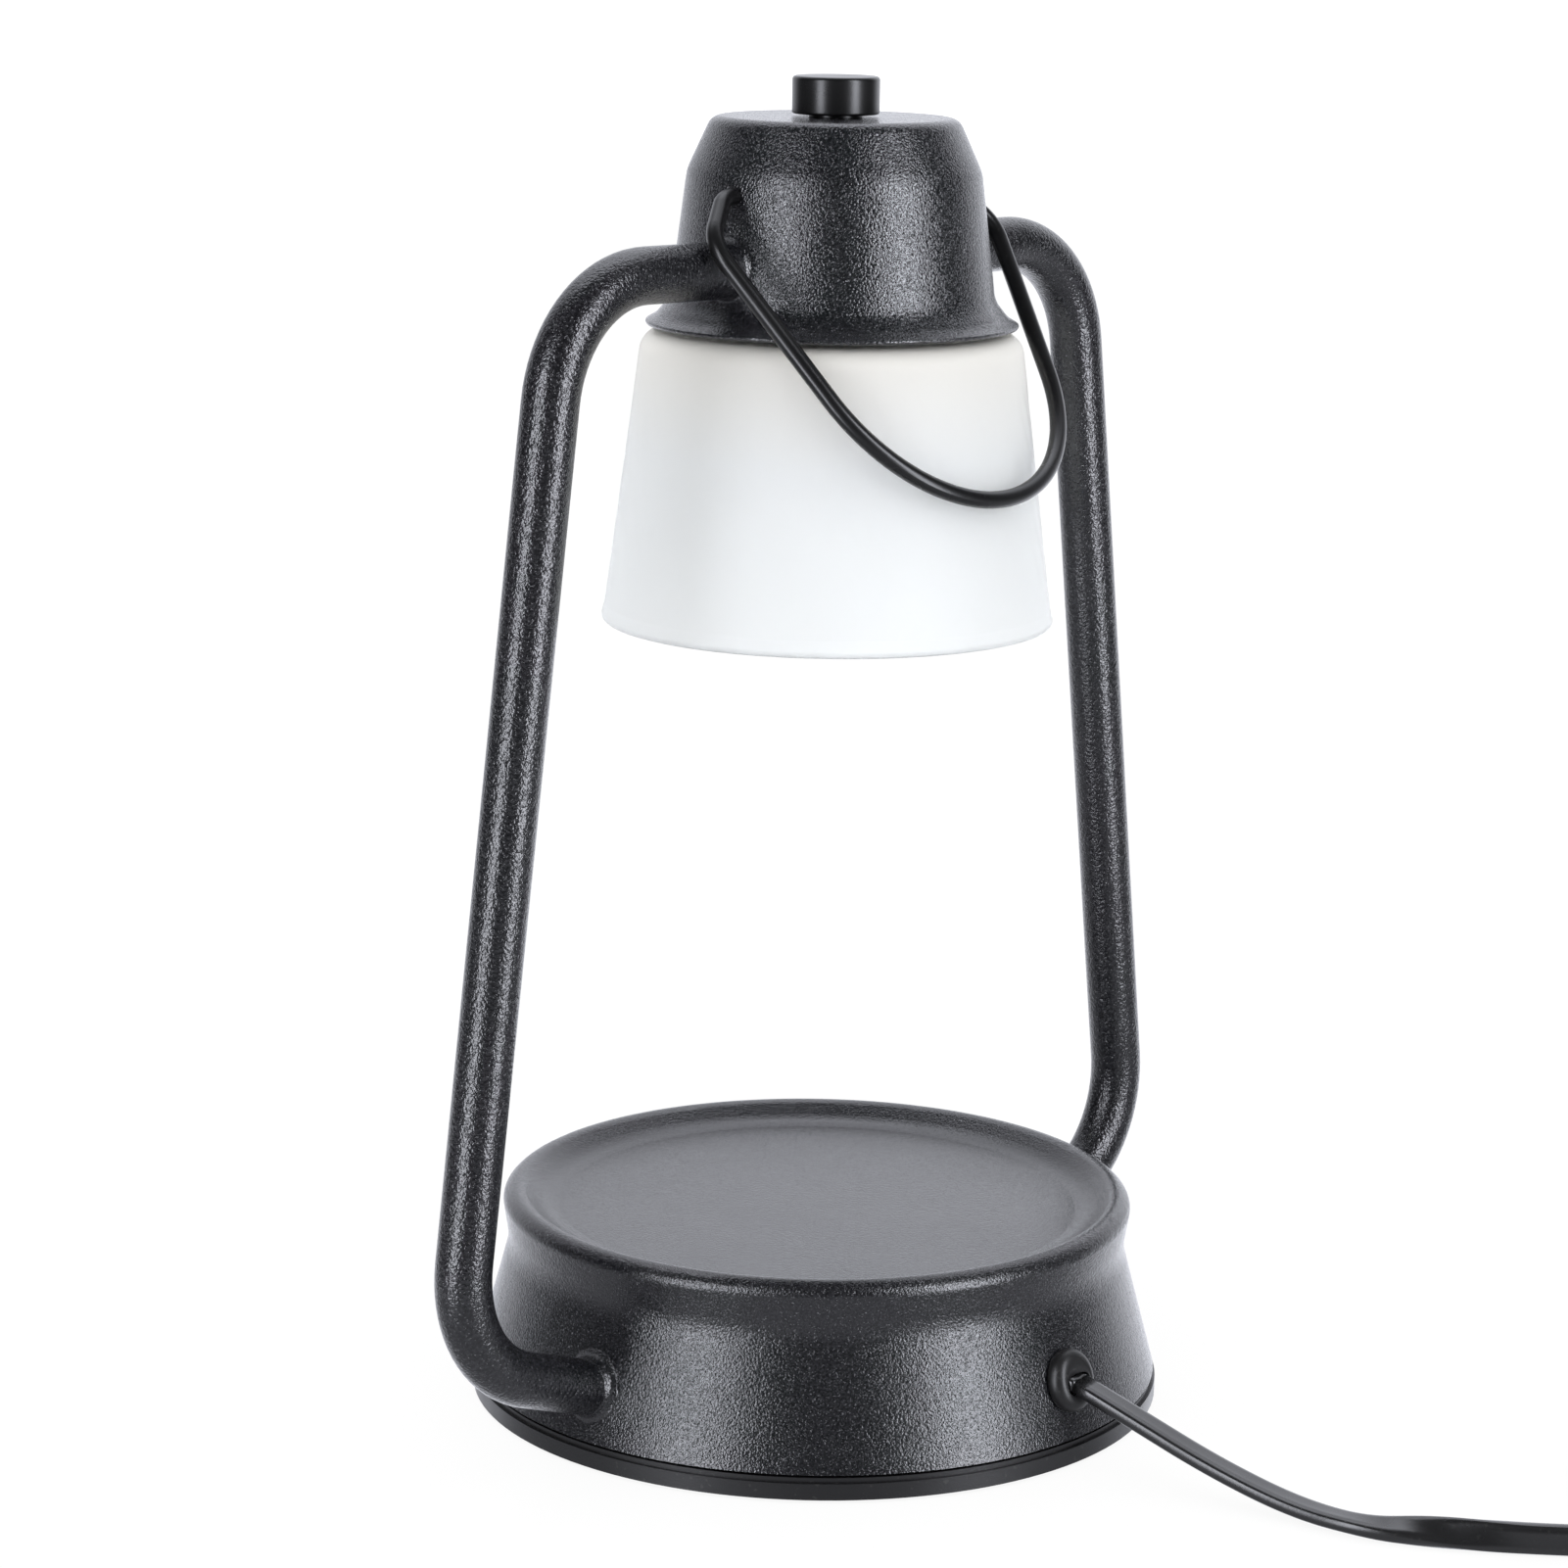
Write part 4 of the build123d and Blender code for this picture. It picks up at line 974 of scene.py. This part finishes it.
def seen_straight(tree):
    """The Light Path node, and one for rays from the camera, also through glass, and nought
    for all others."""
    rays = made(tree, "ShaderNodeLightPath")
    return rays, worked(tree, "MAXIMUM", rays.outputs["Is Camera Ray"], rays.outputs["Is Transmission Ray"])


floor_paint, tree, shader = new_finish("Studio floor", FLOOR_GREY, roughness=0.9)[:3]
seen = seen_straight(tree)[1]
glow = made(tree, "ShaderNodeEmission")
glow.inputs["Strength"].default_value = FLOOR_GLOW
floor_paint.cycles.emission_sampling = "NONE"
blend = made(tree, "ShaderNodeMixShader")
joined(tree, worked(tree, "MULTIPLY", seen, FLOOR_GLOW_SHARE), blend.inputs["Fac"])
joined(tree, shader.outputs["BSDF"], blend.inputs[1])
joined(tree, glow.outputs["Emission"], blend.inputs[2])
joined(tree, blend.outputs["Shader"], tree.nodes["Material Output"].inputs["Surface"])
corners = np.array([(-1, -1, 0), (1, -1, 0), (1, 1, 0), (-1, 1, 0)]) * FLOOR_SIZE / 2
ground = bpy.data.meshes.new("studio_floor")
ground.from_pydata(corners.tolist(), [], [(0, 1, 2, 3)])
ground.materials.append(floor_paint)
floor = bpy.data.objects.new("studio_floor", ground)
scene.collection.objects.link(floor)
floor.visible_glossy = False
floor.visible_shadow = False

world = bpy.data.worlds.new("Studio surround")
scene.world = world
world.use_nodes = True
world.cycles.sampling_method = "NONE"
tree = world.node_tree
rays, seen = seen_straight(tree)
towards_camera = math.radians(270.0) - CAMERA_HEADING
to_camera = (math.cos(towards_camera), math.sin(towards_camera), 0.0)
to_right = (-to_camera[1], to_camera[0], 0.0)
looking = made(tree, "ShaderNodeTexCoord").outputs["Generated"]
turns = []
for direction in (to_camera, to_right, (0.0, 0.0, 1.0)):
    facing = made(tree, "ShaderNodeVectorMath", operation="DOT_PRODUCT")
    facing.inputs[1].default_value = direction
    joined(tree, looking, facing.inputs[0])
    turns.append(facing.outputs["Value"])
forward, sideways, upward = turns
wall = spread(tree, forward, WALL_EDGE, (WALL_LEVEL, 0.0))
wall = worked(tree, "MULTIPLY", wall, spread(tree, sideways, WALL_SIDES, (WALL_LEFT, 1.0)))
ceiling = spread(tree, upward, CEILING_EDGE, (0.0, CEILING_LEVEL))
ceiling = worked(tree, "MULTIPLY", ceiling, spread(tree, forward, CEILING_FRONT, (1.0, 0.0)))
surround = worked(tree, "MAXIMUM", wall, ceiling)
surround = worked(tree, "ADD", surround, spread(tree, upward, TABLE_EDGE, TABLE_LEVELS))
mirrored = rays.outputs["Is Glossy Ray"]
strength = worked(tree, "MULTIPLY", worked(tree, "SUBTRACT", 1.0, mirrored), FILL)
strength = worked(tree, "ADD", strength, worked(tree, "MULTIPLY", mirrored, surround))
strength = worked(tree, "MAXIMUM", strength, seen)
back = tree.nodes["Background"]
joined(tree, tinted(tree, mirrored, PLAIN_WHITE, COOL_WHITE), back.inputs["Color"])
joined(tree, strength, back.inputs["Strength"])

for name, leftward, height, distance, size, radiance in SOFT_BOXES:
    lamp = bpy.data.lights.new(name, "AREA")
    lamp.shape = "RECTANGLE"
    lamp.size, lamp.size_y = size
    lamp.energy = radiance * math.pi * size[0] * size[1]
    lamp.color = COOL_WHITE
    box = bpy.data.objects.new(name, lamp)
    scene.collection.objects.link(box)
    bearing = towards_camera - math.radians(leftward)
    rise = math.radians(height)
    outward = Vector((math.cos(bearing) * math.cos(rise), math.sin(bearing) * math.cos(rise), math.sin(rise)))
    box.location = outward * distance + SOFT_BOX_MIDDLE
    box.rotation_mode = "QUATERNION"
    box.rotation_quaternion = outward.to_track_quat("Z", "Y")
    box.visible_diffuse = False
    box.visible_transmission = False

lens = bpy.data.cameras.new("Camera")
lens.lens = CAMERA_LENS
lens.sensor_width = 36.0
lens.clip_start, lens.clip_end = 0.05, 50.0
camera = bpy.data.objects.new("Camera", lens)
scene.collection.objects.link(camera)
aim = Matrix.Rotation(-CAMERA_HEADING, 3, "Z") @ Matrix.Rotation(math.pi / 2 - CAMERA_PITCH, 3, "X")
camera.matrix_world = Matrix.LocRotScale(CAMERA_PLACE, aim @ Matrix.Rotation(CAMERA_ROLL, 3, "Z"), None)
scene.camera = camera
scene.view_settings.view_transform = "Standard"
